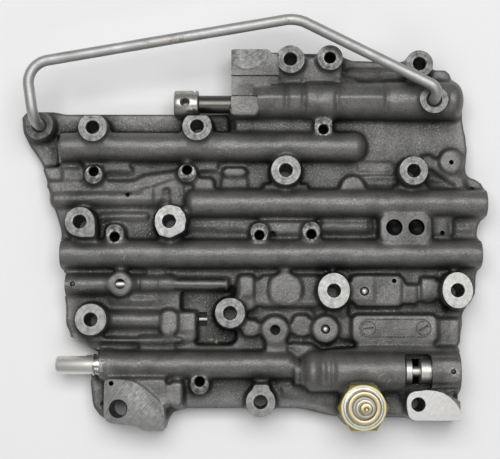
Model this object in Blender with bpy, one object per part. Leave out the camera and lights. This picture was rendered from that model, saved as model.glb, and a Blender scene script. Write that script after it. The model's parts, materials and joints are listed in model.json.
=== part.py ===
# Valve body of an automatic transmission, lying on its machined mating face.
# A ribbed iron casting holds horizontal valve bores, each with its spool, spring, plug and pin.
# Metres, +Z up. The origin is on the mating face, near the middle of the casting.
import math

import bmesh
import bpy

# Heights above the mating face
DECK_TOP = 0.0090
WEB_TOP = 0.0140
BORE_AXIS_Z = 0.0160
BIG_BORE_AXIS_Z = 0.0170
BOSS_TOP = 0.0280
LOW_PAD_TOP = 0.0250
SMALL_BOSS_TOP = 0.0215
FOOT_Z = 0.0020

# Outer edges of the casting
LEFT_X = -0.1370
RIGHT_X = 0.1396
SHELF_Y = 0.0685
SHELF_STEP = 0.0015
HEAD_BLOCK_X = -0.0110
HEAD_BLOCK_TOP_Y = 0.1052
HEAD_BLOCK_WIDTH = 0.0230
LOWER_EDGE_Y = -0.1055
TOE_Y = -0.1180
OUTLINE_FILLET = 0.0035

# Fits and cast draft
GAP = 0.0003
CUT_PAST = 0.0010
EDGE_CHAMFER = 0.0004
CAST_DRAFT = 0.0007
PAD_DRAFT = 0.0010

# Bolt holes and bosses
BOLT_HOLE_RADIUS = 0.0036
BOSS_RADIUS = 0.0084
DOWEL_HOLE_RADIUS = 0.0048
BLIND_HOLE_RADIUS = 0.0032
SMALL_BOSS_RADIUS = 0.0055
SMALL_HOLE_RADIUS = 0.0027
SMALL_BOSS_SHIFT = 0.0020
SMALL_HOLE_FLOOR = 0.0105
TWIN_HOLE_RADIUS = 0.0046
TWIN_HOLE_FLOOR = 0.0160
VENT_RADIUS = 0.0014
VENT_FLOOR = 0.0110

# Valve rows, and the wall of iron round each size of bore
BORE_RADIUS = 0.0049
BORE_WALL = 0.0031
SHIFT_BORE_WALL = 0.0036
SLIM_BORE_RADIUS = 0.0034
SLIM_BORE_WALL = 0.0025
WINDOW_BORE_RADIUS = 0.0076
WINDOW_BORE_WALL = 0.0044
MANUAL_BORE_RADIUS = 0.0080
MANUAL_BORE_WALL = 0.0038
SHIFT_ROW_Y = 0.0472
SECOND_ROW_Y = 0.0137
THIRD_ROW_Y = -0.0161
PLUNGER_ROW_Y = -0.0806
WINDOW_ROW_Y = -0.0842
SLIM_ROW_Y = -0.0338
MANUAL_ROW_Y = 0.0725
MANUAL_RIDGE_SHIFT = 0.0022
MANUAL_RIDGE_STEP = 0.0008
RIDGE_STEPS = 8

# What closes each bore
PIN_RADIUS = 0.0012
PIN_INSET = 0.0046
PIN_FOOT_Z = 0.0012
PIN_PAST_BORE = 0.0015
PLUG_LENGTH = 0.0075
PLUG_CHAMFER = 0.0005
PLUG_SLOT_WIDTH = 0.0012
PLUG_SLOT_DEPTH = 0.0010

# Springs
WIRE_RADIUS = 0.00055
SPRING_TURNS = 5
SPRING_POINTS_PER_TURN = 5
SPRING_CLOSED_TURNS = 0.9

# Manual valve: its lands are distances in from the head block's face
MANUAL_HEAD_RADIUS = 0.0082
MANUAL_HEAD_LENGTH = 0.0145
MANUAL_SHAFT_RADIUS = 0.0053
MANUAL_STANDOFF = 0.0192
MANUAL_CROSS_HOLE_RADIUS = 0.0024
MANUAL_CROSS_HOLE_BACK = 0.0080
MANUAL_GROOVE_DEPTH = 0.0008
MANUAL_GROOVE_WIDTH = 0.0012
MANUAL_GROOVE_BACK = 0.0031
MANUAL_LANDS = ((0.0040, 0.0200), (0.0320, 0.0460), (0.0620, 0.0726))
MANUAL_RUN_OUT = 0.0090

# Plunger that the throttle lever pushes
COLLAR_X = -0.0868
PLUNGER_RADIUS = 0.0053
PLUNGER_REACH = 0.0254
PLUNGER_CHAMFER = 0.0012
PLUNGER_TRAVEL = 0.0080
PLUNGER_NOSE_RADIUS = 0.0034
PLUNGER_NOSE_LENGTH = 0.0150
SLEEVE_LENGTH = 0.0200
SLEEVE_WALL = 0.0010
SLEEVE_PROUD = 0.0039
SLEEVE_IRON_WALL = 0.0018
SLEEVE_COLLAR = 0.0055
SLEEVE_COLLAR_STEP = 0.0007
SLEEVE_PIN_BITE = 0.0008

# Oil transfer tube
TUBE_RADIUS = 0.00318
TUBE_HEIGHT = 0.0390
TUBE_BEND_RADIUS = 0.0130
TUBE_PEAK_BEND_RADIUS = 0.0208
TUBE_END_BEND_RADIUS = 0.0085
TUBE_LAST_BEND_RADIUS = 0.0058
TUBE_SEAT_DEPTH = 0.0060
TUBE_SEAT_SHOULDER = 0.0010
TUBE_BOSS_RADIUS = 0.0081
TUBE_LEFT_X = LEFT_X + 0.0130
TUBE_LEFT_Y = SHELF_Y - 0.0090
TUBE_RIGHT_X = 0.1070
TUBE_RIGHT_Y = MANUAL_ROW_Y + 0.0003
TUBE_OVERSHOOT_X = 0.0015
TUBE_OVERSHOOT_Y = 0.0048
TUBE_DROP_HEIGHT = 0.0332
TUBE_SHOULDER_X = -0.1290
TUBE_SHOULDER_Y = 0.0916
TUBE_PEAK_X = 0.0268
TUBE_PEAK_Y = 0.1188
TUBE_LEFT_BOSS_TOP = 0.0200
TUBE_RIGHT_BOSS_TOP = 0.0300

# Pressure switch
SWITCH_X = 0.0640
SWITCH_Y = -0.1044
SWITCH_BOSS_RADIUS = 0.0130
SWITCH_BOSS_TOP = 0.0252
SWITCH_SPOTFACE_CLEARANCE = 0.0008
SWITCH_SPOTFACE_HEIGHT = 0.0200
SWITCH_HEX_FLATS = 0.0254
SWITCH_HEX_HEIGHT = 0.0075
SWITCH_STUD_RADIUS = 0.0060
SWITCH_STUD_LENGTH = 0.0110
SWITCH_RIM_RADIUS = 0.0118
SWITCH_RIM_HEIGHT = 0.0010
SWITCH_CRIMP_RADIUS = 0.0095
SWITCH_CRIMP_HEIGHT = 0.0045
SWITCH_CUP_RADIUS = 0.0068
SWITCH_CUP_DEPTH = 0.0050
INSULATOR_DROP = 0.0012
TERMINAL_RADIUS = 0.0037
TERMINAL_HEIGHT = 0.0120
TERMINAL_HEAD = 0.0034
TERMINAL_NECK = 0.0008
TERMINAL_COLLAR_RADIUS = 0.0052
TERMINAL_COLLAR_HEIGHT = 0.0034

# Worm tracks in the mating face
TRACK_WIDTH = 0.0060
TRACK_DEPTH = 0.0070
PORT_LENGTH = 0.0045
PORT_WIDTH = 0.0070
PORT_OVERLAP = 0.0010

# Check balls
BALL_RADIUS = 0.0024
BALL_SEAT_Z = 0.0150

ROUND_SEGMENTS = 16
HOLE_SEGMENTS = 12
SMALL_SEGMENTS = 8
PIN_SEGMENTS = 6

# Each valve line: its bore, and its spool as land and stem lengths from the mouth's end
VALVE_LINES = {
    "shift_valve": {
        "mouth_x": -0.1112, "into": 1, "y": SHIFT_ROW_Y, "z": BORE_AXIS_Z,
        "radius": BORE_RADIUS, "wall": SHIFT_BORE_WALL,
        "lands": (0.0100, 0.0070, 0.0120), "stems": (0.0130, 0.0110), "stem_radius": 0.0024,
        "spring": 0.0220, "pin_from_top": False, "spring_first": True,
    },
    "accumulator_valve": {
        "mouth_x": 0.1384, "into": -1, "y": SECOND_ROW_Y, "z": BORE_AXIS_Z,
        "radius": BORE_RADIUS, "wall": BORE_WALL,
        "lands": (0.0110, 0.0110), "stems": (0.0180,), "stem_radius": 0.0026,
        "spring": 0.0280, "pin_from_top": False, "spring_first": True,
    },
    "pressure_regulator_valve": {
        "mouth_x": -0.1104, "into": 1, "y": THIRD_ROW_Y, "z": BORE_AXIS_Z,
        "radius": BORE_RADIUS, "wall": BORE_WALL,
        "lands": (0.0090, 0.0080, 0.0090), "stems": (0.0120, 0.0090), "stem_radius": 0.0024,
        "spring": 0.0260, "pin_from_top": False, "spring_first": True,
    },
    "relay_valve": {
        "mouth_x": 0.1348, "into": -1, "y": THIRD_ROW_Y, "z": BORE_AXIS_Z,
        "radius": BORE_RADIUS, "wall": BORE_WALL,
        "lands": (0.0120, 0.0080), "stems": (0.0120,), "stem_radius": 0.0024,
        "spring": 0.0200, "pin_from_top": False, "spring_first": True,
    },
    "governor_valve": {
        "mouth_x": -0.1076, "into": 1, "y": SLIM_ROW_Y, "z": DECK_TOP + 0.0050,
        "radius": SLIM_BORE_RADIUS, "wall": SLIM_BORE_WALL,
        "lands": (0.0070, 0.0060), "stems": (0.0130,), "stem_radius": 0.0016,
        "spring": 0.0140, "pin_from_top": True, "spring_first": True,
    },
    "timing_valve": {
        "mouth_x": 0.1204, "into": -1, "y": WINDOW_ROW_Y, "z": BIG_BORE_AXIS_Z,
        "radius": WINDOW_BORE_RADIUS, "wall": WINDOW_BORE_WALL,
        "lands": (0.0085, 0.0036, 0.0090), "stems": (0.0049, 0.0086), "stem_radius": 0.0030,
        "spring": 0.0240, "pin_from_top": True, "spring_first": False,
    },
}
PLUNGER_LINE = {
    "mouth_x": COLLAR_X, "into": 1, "y": PLUNGER_ROW_Y, "z": BORE_AXIS_Z, "radius": BORE_RADIUS,
    "lands": (0.0090, 0.0080), "stems": (0.0110,), "stem_radius": 0.0024, "spring": 0.0240,
}

# Bolt bosses: the hole's place, and the half widths of the machined top
BOLT_BOSSES = {
    "upper_left": (-0.0915, 0.0569, BOSS_RADIUS, BOSS_RADIUS),
    "upper_centre": (-0.0308, 0.0575, BOSS_RADIUS, BOSS_RADIUS),
    "head_block": (0.0237, 0.0973, BOSS_RADIUS, BOSS_RADIUS),
    "head_right": (0.0991, 0.0946, 0.0081, 0.0081),
    "row_two_centre": (0.0208, 0.0317, 0.0087, 0.0087),
    "row_two_right": (0.0949, 0.0314, BOSS_RADIUS, BOSS_RADIUS),
    "left_shoulder": (-0.0982, 0.0017, BOSS_RADIUS, BOSS_RADIUS),
    "row_three_left": (-0.0467, 0.0020, BOSS_RADIUS, 0.0094),
    "lower_left": (-0.0911, -0.0546, 0.0091, 0.0091),
    "centre": (-0.0114, -0.0509, 0.0087, 0.0087),
    "lower_centre": (0.0481, -0.0381, 0.0092, 0.0103),
    "lower_right": (0.1190, -0.0379, 0.0089, 0.0104),
    "bottom": (0.0060, -0.1013, BOSS_RADIUS, BOSS_RADIUS),
}
# Flat ground that carries a bolt boss's top out past its round: x from, x to, y from, y to
BOSS_LUGS = {
    "shoulder_lug": (-0.0982, -0.0893, -0.0073, 0.0017),
    "row_three_lug": (-0.0467, -0.0374, -0.0035, 0.0070),
    "bottom_lug": (0.0020, 0.0110, -0.1000, -0.0915),
}
CORNER_PAD_HOLE = (0.0955, -0.1027)
DOWEL_HOLE = (-0.0751, -0.1052)
BLIND_BOSS = (0.0468, 0.0982)
BLIND_BOSS_RADIUS = 0.0076

# Tapped small bosses: hole centre, which way the boss is shifted off its hole, and its flank's half width
SMALL_BOSSES = {
    "a": (-0.0914, 0.0320, -1, 0.0),
    "b": (-0.0368, 0.0329, -1, 0.0),
    "c": (-0.0787, -0.0064, 1, 0.0082),
    "d": (0.0055, -0.0055, 1, 0.0),
    "e": (0.0357, -0.0049, 1, 0.0066),
    "f": (0.0431, 0.0569, 1, 0.0072),
    "g": (-0.0289, -0.0899, -1, 0.0068),
}

# Cast pads between the ridges: x from, x to, y from, y to, top, corner radius
PADS = {
    "number_pad": (0.0590, 0.1084, -0.0676, -0.0518, 0.0200, 0.0025),
    "number_band": (0.0516, 0.1215, -0.0655, -0.0540, 0.0165, 0.0020),
    "twin_hole_pad": (0.0756, 0.1056, -0.0095, 0.0068, 0.0225, 0.0030),
    "row_two_start": (-0.0470, -0.0352, 0.0127, 0.0257, 0.0165, 0.0030),
    "left_bump": (-0.0328, -0.0211, 0.0219, 0.0284, 0.0190, 0.0020),
    "middle_bump": (-0.0165, -0.0018, 0.0300, 0.0345, 0.0175, 0.0020),
    "strip_pad": (0.0055, 0.0357, -0.0045, 0.0025, 0.0185, 0.0015),
    "low_left_block": (-0.0521, -0.0422, -0.0633, -0.0489, 0.0190, 0.0025),
    "pocket_block": (-0.0407, -0.0313, -0.0662, -0.0499, 0.0155, 0.0015),
    "pocket_right_rise": (-0.0070, 0.0030, -0.0490, -0.0285, 0.0180, 0.0020),
    "centre_rise": (0.0050, 0.0420, -0.0470, -0.0290, 0.0165, 0.0030),
    "lower_bump": (-0.0045, 0.0050, -0.0640, -0.0545, 0.0185, 0.0020),
    "neck_bump": (0.0249, 0.0347, -0.0639, -0.0517, 0.0175, 0.0020),
    "ball_rise": (0.0593, 0.0895, -0.0466, -0.0286, 0.0190, 0.0030),
    "right_rise": (0.0880, 0.0985, -0.0450, -0.0343, 0.0180, 0.0020),
    "right_step": (0.0989, 0.1085, -0.0442, -0.0314, 0.0170, 0.0020),
    "plunger_step": (0.0305, 0.0397, -0.0868, -0.0777, 0.0215, 0.0025),
    "vent_step": (0.1089, 0.1181, -0.0056, 0.0009, 0.0170, 0.0015),
    "head_collar": (HEAD_BLOCK_X, 0.0047, 0.0640, 0.0757, 0.0265, 0.0015),
    "head_shelf": (0.0560, 0.1190, 0.0800, 0.0935, 0.0170, 0.0030),
    "head_web": (0.0100, 0.0540, 0.0850, 0.0995, 0.0232, 0.0030),
    "dowel_column": (-0.0456, -0.0386, -0.1045, -0.0900, 0.0240, 0.0015),
    "teardrop_neck": (0.0092, 0.0208, -0.0740, -0.0604, 0.0195, 0.0010),
}
# Round pads: x, y, radius, top
ROUND_PADS = {
    "teardrop_pad": (0.0145, -0.0604, 0.0080, 0.0205),
    "ball_pad": (0.0436, -0.0600, 0.0078, 0.0210),
    "half_pad": (0.0603, SECOND_ROW_Y + 0.0086, 0.0073, 0.0195),
    "centre_disc": (0.0203, -0.0367, 0.0098, 0.0185),
    "vent_pad": (0.1185, 0.0385, 0.0070, 0.0190),
    "gauge_pad": (-0.0754, SLIM_ROW_Y, 0.0073, 0.0205),
}
# Oil ways cast as low ridges: x from, x to, y, axis height, crown radius
OIL_RIDGES = {
    "left_oil_ridge": (-0.1185, -0.0470, 0.0168, 0.0120, 0.0056),
    "slim_tail": (-0.0720, -0.0425, SLIM_ROW_Y + 0.0006, 0.0134, 0.0051),
    "low_oil_ridge": (-0.0860, -0.0423, -0.0544, 0.0130, 0.0054),
    "low_strip": (-0.0828, -0.0554, -0.0432, 0.0125, 0.0026),
    "mid_oil_ridge": (0.0400, 0.0731, 0.0002, 0.0125, 0.0046),
    "upper_strip": (-0.0874, -0.0678, 0.0330, 0.0130, 0.0024),
    "left_mid_strip": (-0.0890, -0.0587, 0.0062, 0.0125, 0.0028),
    "centre_strip": (-0.0380, 0.0010, 0.0004, 0.0125, 0.0028),
    "right_strip": (0.1040, 0.1330, -0.0010, 0.0115, 0.0032),
}
# Bent ribs: width, top, and their route
RIBS = {
    "upper_ledge": (
        0.0050, 0.0160, ((-0.1177, 0.0241), (-0.0677, 0.0241), (-0.0612, 0.0276), (-0.0442, 0.0300)),
    ),
    "corner_brace": (0.0060, 0.0168, ((0.1040, 0.0400), (0.1147, 0.0322), (0.1240, 0.0263))),
    "window_lip": (
        0.0030, 0.0185,
        ((0.0245, -0.0694), (0.0350, -0.0700), (0.0420, -0.0752), (0.0540, -0.0742), (0.0620, -0.0716),
         (0.1200, -0.0716)),
    ),
}

TWIN_HOLES = ((0.0838, -0.0011), (0.0967, -0.0011))
BALL_HOLES = {"check_ball_left": ROUND_PADS["ball_pad"][:2], "check_ball_right": (0.0664, -0.0380)}
VENTS = (
    (-0.1144, 0.0377), (-0.0718, 0.0187), (-0.0792, -0.0909), (-0.0854, -0.1032), (0.1182, 0.0377),
    (0.1124, -0.0039), (0.0134, -0.0042), (0.0838, -0.0320), (0.1137, -0.0483), (0.1307, 0.0226),
)

# Sunk areas of the web: x from, x to, y from, y to, floor, corner radius
POCKET = (-0.0407, -0.0076, -0.0690, -0.0332, 0.0085, 0.0030)
POCKET_SLOT = (-0.0299, -0.0252, -0.0579, -0.0497, 0.0060, 0.0010)
SHELF_RECESS = (-0.0268, HEAD_BLOCK_X - 0.0006, 0.0562, SHELF_Y - 0.0015, DECK_TOP - 0.0020, 0.0015)
VALVE_WINDOW = (0.0883, 0.1039, WINDOW_ROW_Y - 0.0105, WINDOW_ROW_Y + 0.0100, 0.0150, 0.0022)

# Worm tracks: each a route of points in the mating face
TRACKS = {
    "feed": (
        (TUBE_LEFT_X, TUBE_LEFT_Y), (-0.1080, 0.0420), (-0.1040, 0.0200), (-0.0800, 0.0200), (-0.0620, 0.0340),
    ),
    "shelf": ((-0.0780, 0.0610), (-0.0600, 0.0610), (-0.0600, 0.0450)),
    "shift_exhaust": ((-0.0760, 0.0400), (-0.0480, 0.0380), (-0.0250, 0.0430), (-0.0020, 0.0430)),
    "drive": ((-0.0080, 0.0590), (0.0080, 0.0590), (0.0080, 0.0740)),
    "reverse": ((0.0380, 0.0740), (0.0380, 0.0850), (0.0750, 0.0850), (0.0780, 0.0700)),
    "cross_feed": ((0.0350, 0.0470), (0.0700, 0.0470), (0.0620, 0.0140)),
    "tube_feed": ((TUBE_RIGHT_X, TUBE_RIGHT_Y), (0.1160, 0.0600), (0.1140, 0.0400), (0.1190, 0.0160)),
    "left_lube": ((-0.0840, 0.0020), (-0.0640, 0.0040), (-0.0620, -0.0140)),
    "second_feed": ((-0.0300, 0.0100), (-0.0160, 0.0100), (-0.0160, -0.0150)),
    "accumulator": ((0.0250, 0.0080), (0.0620, 0.0060), (0.0620, -0.0120), (0.0800, -0.0170)),
    "right_drain": ((0.0850, 0.0040), (0.1120, 0.0040), (0.1240, -0.0060)),
    "regulator": ((-0.0960, -0.0200), (-0.0700, -0.0220), (-0.0680, -0.0460), (-0.0550, -0.0600)),
    "pocket_drain": ((-0.0400, -0.0280), (-0.0270, -0.0380), (-0.0270, -0.0640), (-0.0460, -0.0760)),
    "throttle": ((0.0080, -0.0280), (0.0280, -0.0280), (0.0280, -0.0560), (0.0060, -0.0640), (0.0060, -0.0790)),
    "relay_feed": ((0.0650, -0.0260), (0.0960, -0.0260), (0.0980, -0.0480), (0.0740, -0.0620)),
    "timing_feed": ((0.0420, -0.0640), (0.0560, -0.0700), (0.0560, -0.0830)),
    "timing_drain": ((0.1120, -0.0560), (0.1140, -0.0740), (0.1060, -0.0880)),
    "switch_feed": ((SWITCH_X, SWITCH_Y), (0.0440, -0.0980), (0.0260, -0.0920)),
    "dowel_drain": ((-0.0620, -0.0960), (-0.0340, -0.0970), (-0.0150, -0.0900)),
}
# Ports from a track up into a bore: x, and the row whose bore it opens
PORTS = (
    (-0.0600, SHIFT_ROW_Y), (-0.0250, SHIFT_ROW_Y), (0.0080, MANUAL_ROW_Y), (0.0380, MANUAL_ROW_Y),
    (0.0780, MANUAL_ROW_Y), (0.1190, SECOND_ROW_Y), (0.0620, SECOND_ROW_Y), (-0.0620, THIRD_ROW_Y),
    (0.0800, THIRD_ROW_Y), (0.0060, PLUNGER_ROW_Y), (-0.0460, PLUNGER_ROW_Y), (0.1060, WINDOW_ROW_Y),
)


def hex_to_linear(code):
    """An sRGB hex colour as linear RGBA."""
    channels = [int(code[i : i + 2], 16) / 255 for i in (1, 3, 5)]
    linear = [c / 12.92 if c <= 0.04045 else ((c + 0.055) / 1.055) ** 2.4 for c in channels]
    return (*linear, 1.0)


def material(name, code, roughness, metallic):
    made = bpy.data.materials.new(name)
    made.use_nodes = True
    shader = made.node_tree.nodes["Principled BSDF"]
    shader.inputs["Base Color"].default_value = hex_to_linear(code)
    shader.inputs["Roughness"].default_value = roughness
    shader.inputs["Metallic"].default_value = metallic
    made.diffuse_color = hex_to_linear(code)
    return made


def finish_mesh(name, bm, location=(0, 0, 0)):
    """Turns a bmesh into an object with its faces pointing out and its round sides smooth."""
    bmesh.ops.recalc_face_normals(bm, faces=bm.faces)
    mesh = bpy.data.meshes.new(name)
    bm.to_mesh(mesh)
    bm.free()
    mesh.shade_smooth()
    mesh.set_sharp_from_angle(angle=math.radians(35))
    made = bpy.data.objects.new(name, mesh)
    made.location = location
    bpy.context.scene.collection.objects.link(made)
    return made


def bridge(bm, rings):
    """Joins neighbouring rings of vertices with faces and closes the first and the last."""
    for first, second in zip(rings, rings[1:]):
        count = len(first)
        for i in range(count):
            j = (i + 1) % count
            bm.faces.new((first[i], first[j], second[j], second[i]))
    bm.faces.new(rings[0])
    bm.faces.new(rings[-1])


def ring_points(half_x, half_y, segments, turn=0.5):
    """A circle or oval as corner points. The default turn puts a flat, not a corner, on each axis."""
    step = 2 * math.pi / segments
    return [
        (half_x * math.cos((i + turn) * step), half_y * math.sin((i + turn) * step))
        for i in range(segments)
    ]


def prism(name, corners, low, high, draft=0.0):
    """An upright block with the given outline at its top. The draft makes its foot wider."""
    spans = [(min(values), max(values)) for values in zip(*corners)]
    (mid_x, half_x), (mid_y, half_y) = [((a + b) / 2, (b - a) / 2) for a, b in spans]
    foot = [
        (x + draft * (x - mid_x) / half_x, y + draft * (y - mid_y) / half_y) for x, y in corners
    ]
    bm = bmesh.new()
    bridge(bm, [[bm.verts.new((x, y, z)) for x, y in ring] for ring, z in ((foot, low), (corners, high))])
    return finish_mesh(name, bm)


def turned(name, profile, segments, axis="X", location=(0, 0, 0)):
    """A round piece about its own axis, from (distance along the axis, radius) points."""
    bm = bmesh.new()
    rings = []
    for distance, radius in profile:
        ring = []
        for a, b in ring_points(radius, radius, segments):
            ring.append(bm.verts.new((distance, a, b) if axis == "X" else (a, b, distance)))
        rings.append(ring)
    bridge(bm, rings)
    return finish_mesh(name, bm, location)


def upright(name, x, y, low, high, radius, segments=HOLE_SEGMENTS):
    """A round hole cutter or pin standing along Z."""
    return turned(name, [(low, radius), (high, radius)], segments, "Z", (x, y, 0))


def round_post(name, x, y, top, half_x, half_y=None, segments=ROUND_SEGMENTS):
    """A cast boss or pad, round or oval, with its draft."""
    corners = [(x + a, y + b) for a, b in ring_points(half_x, half_y or half_x, segments)]
    return prism(name, corners, FOOT_Z, top, CAST_DRAFT)


def rounded(corners, radius, steps=1):
    """The outline with each corner rounded. A corner may carry a radius of its own."""
    points = []
    count = len(corners)
    for i, corner in enumerate(corners):
        here = corner[:2]
        before, after = corners[i - 1][:2], corners[(i + 1) % count][:2]
        wanted = corner[2] if len(corner) > 2 else radius
        reach_in, reach_out = math.dist(here, before), math.dist(here, after)
        cut = min(wanted, 0.45 * reach_in, 0.45 * reach_out)
        start = [h + (b - h) * cut / reach_in for h, b in zip(here, before)]
        end = [h + (a - h) * cut / reach_out for h, a in zip(here, after)]
        for k in range(steps + 1):
            t = k / steps
            points.append(
                tuple(
                    (1 - t) ** 2 * s + 2 * t * (1 - t) * h + t * t * e
                    for s, h, e in zip(start, here, end)
                )
            )
    return points


def box_corners(x_low, x_high, y_low, y_high):
    return [(x_low, y_low), (x_high, y_low), (x_high, y_high), (x_low, y_high)]


def sunk_box(name, place, top):
    """A cutter from (x from, x to, y from, y to, floor, corner radius), open at its top."""
    return prism(name, rounded(box_corners(*place[:4]), place[5]), place[4], top)


def ridge(name, axis_y, axis_z, sections):
    """A cast wall with a round crown along X, from (x, crown radius) sections."""
    bm = bmesh.new()
    rings = []
    for x, radius in sections:
        outline = [(axis_y + radius + CAST_DRAFT, FOOT_Z)]
        for i in range(RIDGE_STEPS + 1):
            angle = math.pi * i / RIDGE_STEPS
            outline.append((axis_y + radius * math.cos(angle), axis_z + radius * math.sin(angle)))
        outline.append((axis_y - radius - CAST_DRAFT, FOOT_Z))
        rings.append([bm.verts.new((x, y, z)) for y, z in outline])
    bridge(bm, rings)
    return finish_mesh(name, bm)


def domed(x, radius, side, length=None):
    """The sections that round off a ridge's end at x, on its left (-1) or right (+1) side."""
    reach = length or radius
    turns = [math.radians(a) for a in (0, 40, 75)]
    made = [
        (x - side * reach * (1 - math.sin(t)), radius * max(math.cos(t), 0.25)) for t in turns
    ]
    return made if side > 0 else made[::-1]


def strip_outline(route, width):
    """The outline of a strip of even width along a route of points, with pointed ends."""
    half = width / 2
    left, right = [], []
    for i, (x, y) in enumerate(route):
        before = route[max(i - 1, 0)]
        after = route[min(i + 1, len(route) - 1)]
        angle_in = math.atan2(y - before[1], x - before[0])
        angle_out = math.atan2(after[1] - y, after[0] - x)
        if i == 0:
            angle_in = angle_out
        if i == len(route) - 1:
            angle_out = angle_in
        turn = (angle_out - angle_in + math.pi) % (2 * math.pi) - math.pi
        normal = angle_in + turn / 2 + math.pi / 2
        reach = half / math.cos(turn / 2)
        left.append((x + reach * math.cos(normal), y + reach * math.sin(normal)))
        right.append((x - reach * math.cos(normal), y - reach * math.sin(normal)))

    def beyond(point, inner):
        reach = half / math.dist(point, inner)
        return [(point[0] + reach * (point[0] - inner[0]), point[1] + reach * (point[1] - inner[1]))]

    return right + beyond(route[-1], route[-2]) + left[::-1] + beyond(route[0], route[1])


def line_bore(name, line, radius, depth):
    """The cutter of one bore, from just outside its mouth to its bottom."""
    start = line["mouth_x"] - line["into"] * CUT_PAST
    end = line["mouth_x"] + line["into"] * depth
    low, high = sorted((start, end))
    return turned(name, [(low, radius), (high, radius)], HOLE_SEGMENTS, "X", (0, line["y"], line["z"]))


def spool_length(line):
    return sum(line["lands"]) + sum(line["stems"])


def line_places(line):
    """Distances in from the mouth: plug, the two loose pieces in their order, and the bore's bottom."""
    plug = PIN_INSET + PIN_RADIUS + GAP
    first = plug + PLUG_LENGTH + GAP
    lengths = [line["spring"], spool_length(line)]
    if not line["spring_first"]:
        lengths.reverse()
    second = first + lengths[0] + GAP
    bottom = second + lengths[1] + GAP
    spring, spool = (first, second) if line["spring_first"] else (second, first)
    return {"plug": plug, "spring": spring, "spool": spool, "bottom": bottom}


def spool_profile(line):
    """Lands that fill the bore but for the fit, joined by thinner stems."""
    land, stem = line["radius"] - GAP, line["stem_radius"]
    profile, at = [(0.0, land)], 0.0
    for width, gap in zip(line["lands"], line["stems"]):
        at += width
        profile.extend([(at, land), (at, stem), (at + gap, stem), (at + gap, land)])
        at += gap
    return profile + [(at + line["lands"][-1], land)]


def facing(line, profile, distance):
    """The profile laid in from the mouth. A line that opens on the right runs the other way."""
    start = line["mouth_x"] + line["into"] * distance
    local = [(line["into"] * along, radius) for along, radius in profile]
    return start, local if line["into"] > 0 else local[::-1]


def make_spring(name, line, distance, look):
    """A coil laid in from the mouth, as a bent wire with flat-closed ends."""
    near = line["mouth_x"] + line["into"] * distance
    low, high = sorted((near, near + line["into"] * line["spring"]))
    low, high = low + WIRE_RADIUS, high - WIRE_RADIUS
    coil = line["radius"] - GAP - WIRE_RADIUS
    end_rise = 2.2 * WIRE_RADIUS
    curve = bpy.data.curves.new(name, "CURVE")
    curve.dimensions = "3D"
    curve.bevel_depth = WIRE_RADIUS
    curve.bevel_resolution = 0
    curve.use_fill_caps = True
    spline = curve.splines.new("POLY")
    spline.points.add(SPRING_TURNS * SPRING_POINTS_PER_TURN)
    for i, point in enumerate(spline.points):
        turn = i / SPRING_POINTS_PER_TURN
        free = (turn - SPRING_CLOSED_TURNS) / (SPRING_TURNS - 2 * SPRING_CLOSED_TURNS)
        if turn < SPRING_CLOSED_TURNS:
            along = end_rise * turn / SPRING_CLOSED_TURNS
        elif turn > SPRING_TURNS - SPRING_CLOSED_TURNS:
            along = (high - low) - end_rise * (SPRING_TURNS - turn) / SPRING_CLOSED_TURNS
        else:
            along = end_rise + free * (high - low - 2 * end_rise)
        angle = 2 * math.pi * turn
        point.co = (along, coil * math.cos(angle), coil * math.sin(angle), 1.0)
    made = bpy.data.objects.new(name, curve)
    made.location = (low, line["y"], line["z"])
    bpy.context.scene.collection.objects.link(made)
    made.data.materials.append(look)


def make_pin(name, x, y, span, look):
    """A driven roll pin with a chamfer at each end."""
    low, high = span
    profile = [
        (low, PIN_RADIUS - EDGE_CHAMFER), (low + EDGE_CHAMFER, PIN_RADIUS),
        (high - EDGE_CHAMFER, PIN_RADIUS), (high, PIN_RADIUS - EDGE_CHAMFER),
    ]
    made = turned(name, profile, PIN_SEGMENTS, "Z", (x, y, 0))
    made.data.materials.append(look)


def crown_z(line):
    return line["z"] + line["radius"] + line["wall"]


def pin_span(line):
    """The heights of a line's pin: from the mating face up, or from the crown down."""
    if line["pin_from_top"]:
        return line["z"] - line["radius"] - PIN_PAST_BORE, crown_z(line) - EDGE_CHAMFER
    return PIN_FOOT_Z, line["z"] + line["radius"] + PIN_PAST_BORE


def slotted_plug(name, line, distance, look):
    """A bore plug with a screwdriver slot across its outer face."""
    radius = line["radius"] - GAP
    start, local = facing(line, [(0, radius - PLUG_CHAMFER), (PLUG_CHAMFER, radius), (PLUG_LENGTH, radius)], distance)
    made = turned(name, local, HOLE_SEGMENTS, "X", (start, line["y"], line["z"]))
    made.data.materials.append(look)
    low, high = sorted((start - line["into"] * CUT_PAST, start + line["into"] * PLUG_SLOT_DEPTH))
    half = PLUG_SLOT_WIDTH / 2
    outline = box_corners(low, high, line["y"] - half, line["y"] + half)
    subtract(made, [prism(name + "_slot", outline, line["z"] - radius, line["z"] + radius)])


def hide(cutter):
    cutter.hide_render = True
    cutter.display_type = "WIRE"


def combine(target, helpers, operation, label, solver="EXACT"):
    """Adds one Boolean with a collection of helpers, which are left out of the model."""
    group = bpy.data.collections.new(label)
    bpy.context.scene.collection.children.link(group)
    for helper in helpers:
        bpy.context.scene.collection.objects.unlink(helper)
        group.objects.link(helper)
        hide(helper)
    modifier = target.modifiers.new(label, "BOOLEAN")
    modifier.operation = operation
    modifier.solver = solver
    modifier.operand_type = "COLLECTION"
    modifier.collection = group


def subtract(target, helpers):
    combine(target, helpers, "DIFFERENCE", target.name + "_cuts")


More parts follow.
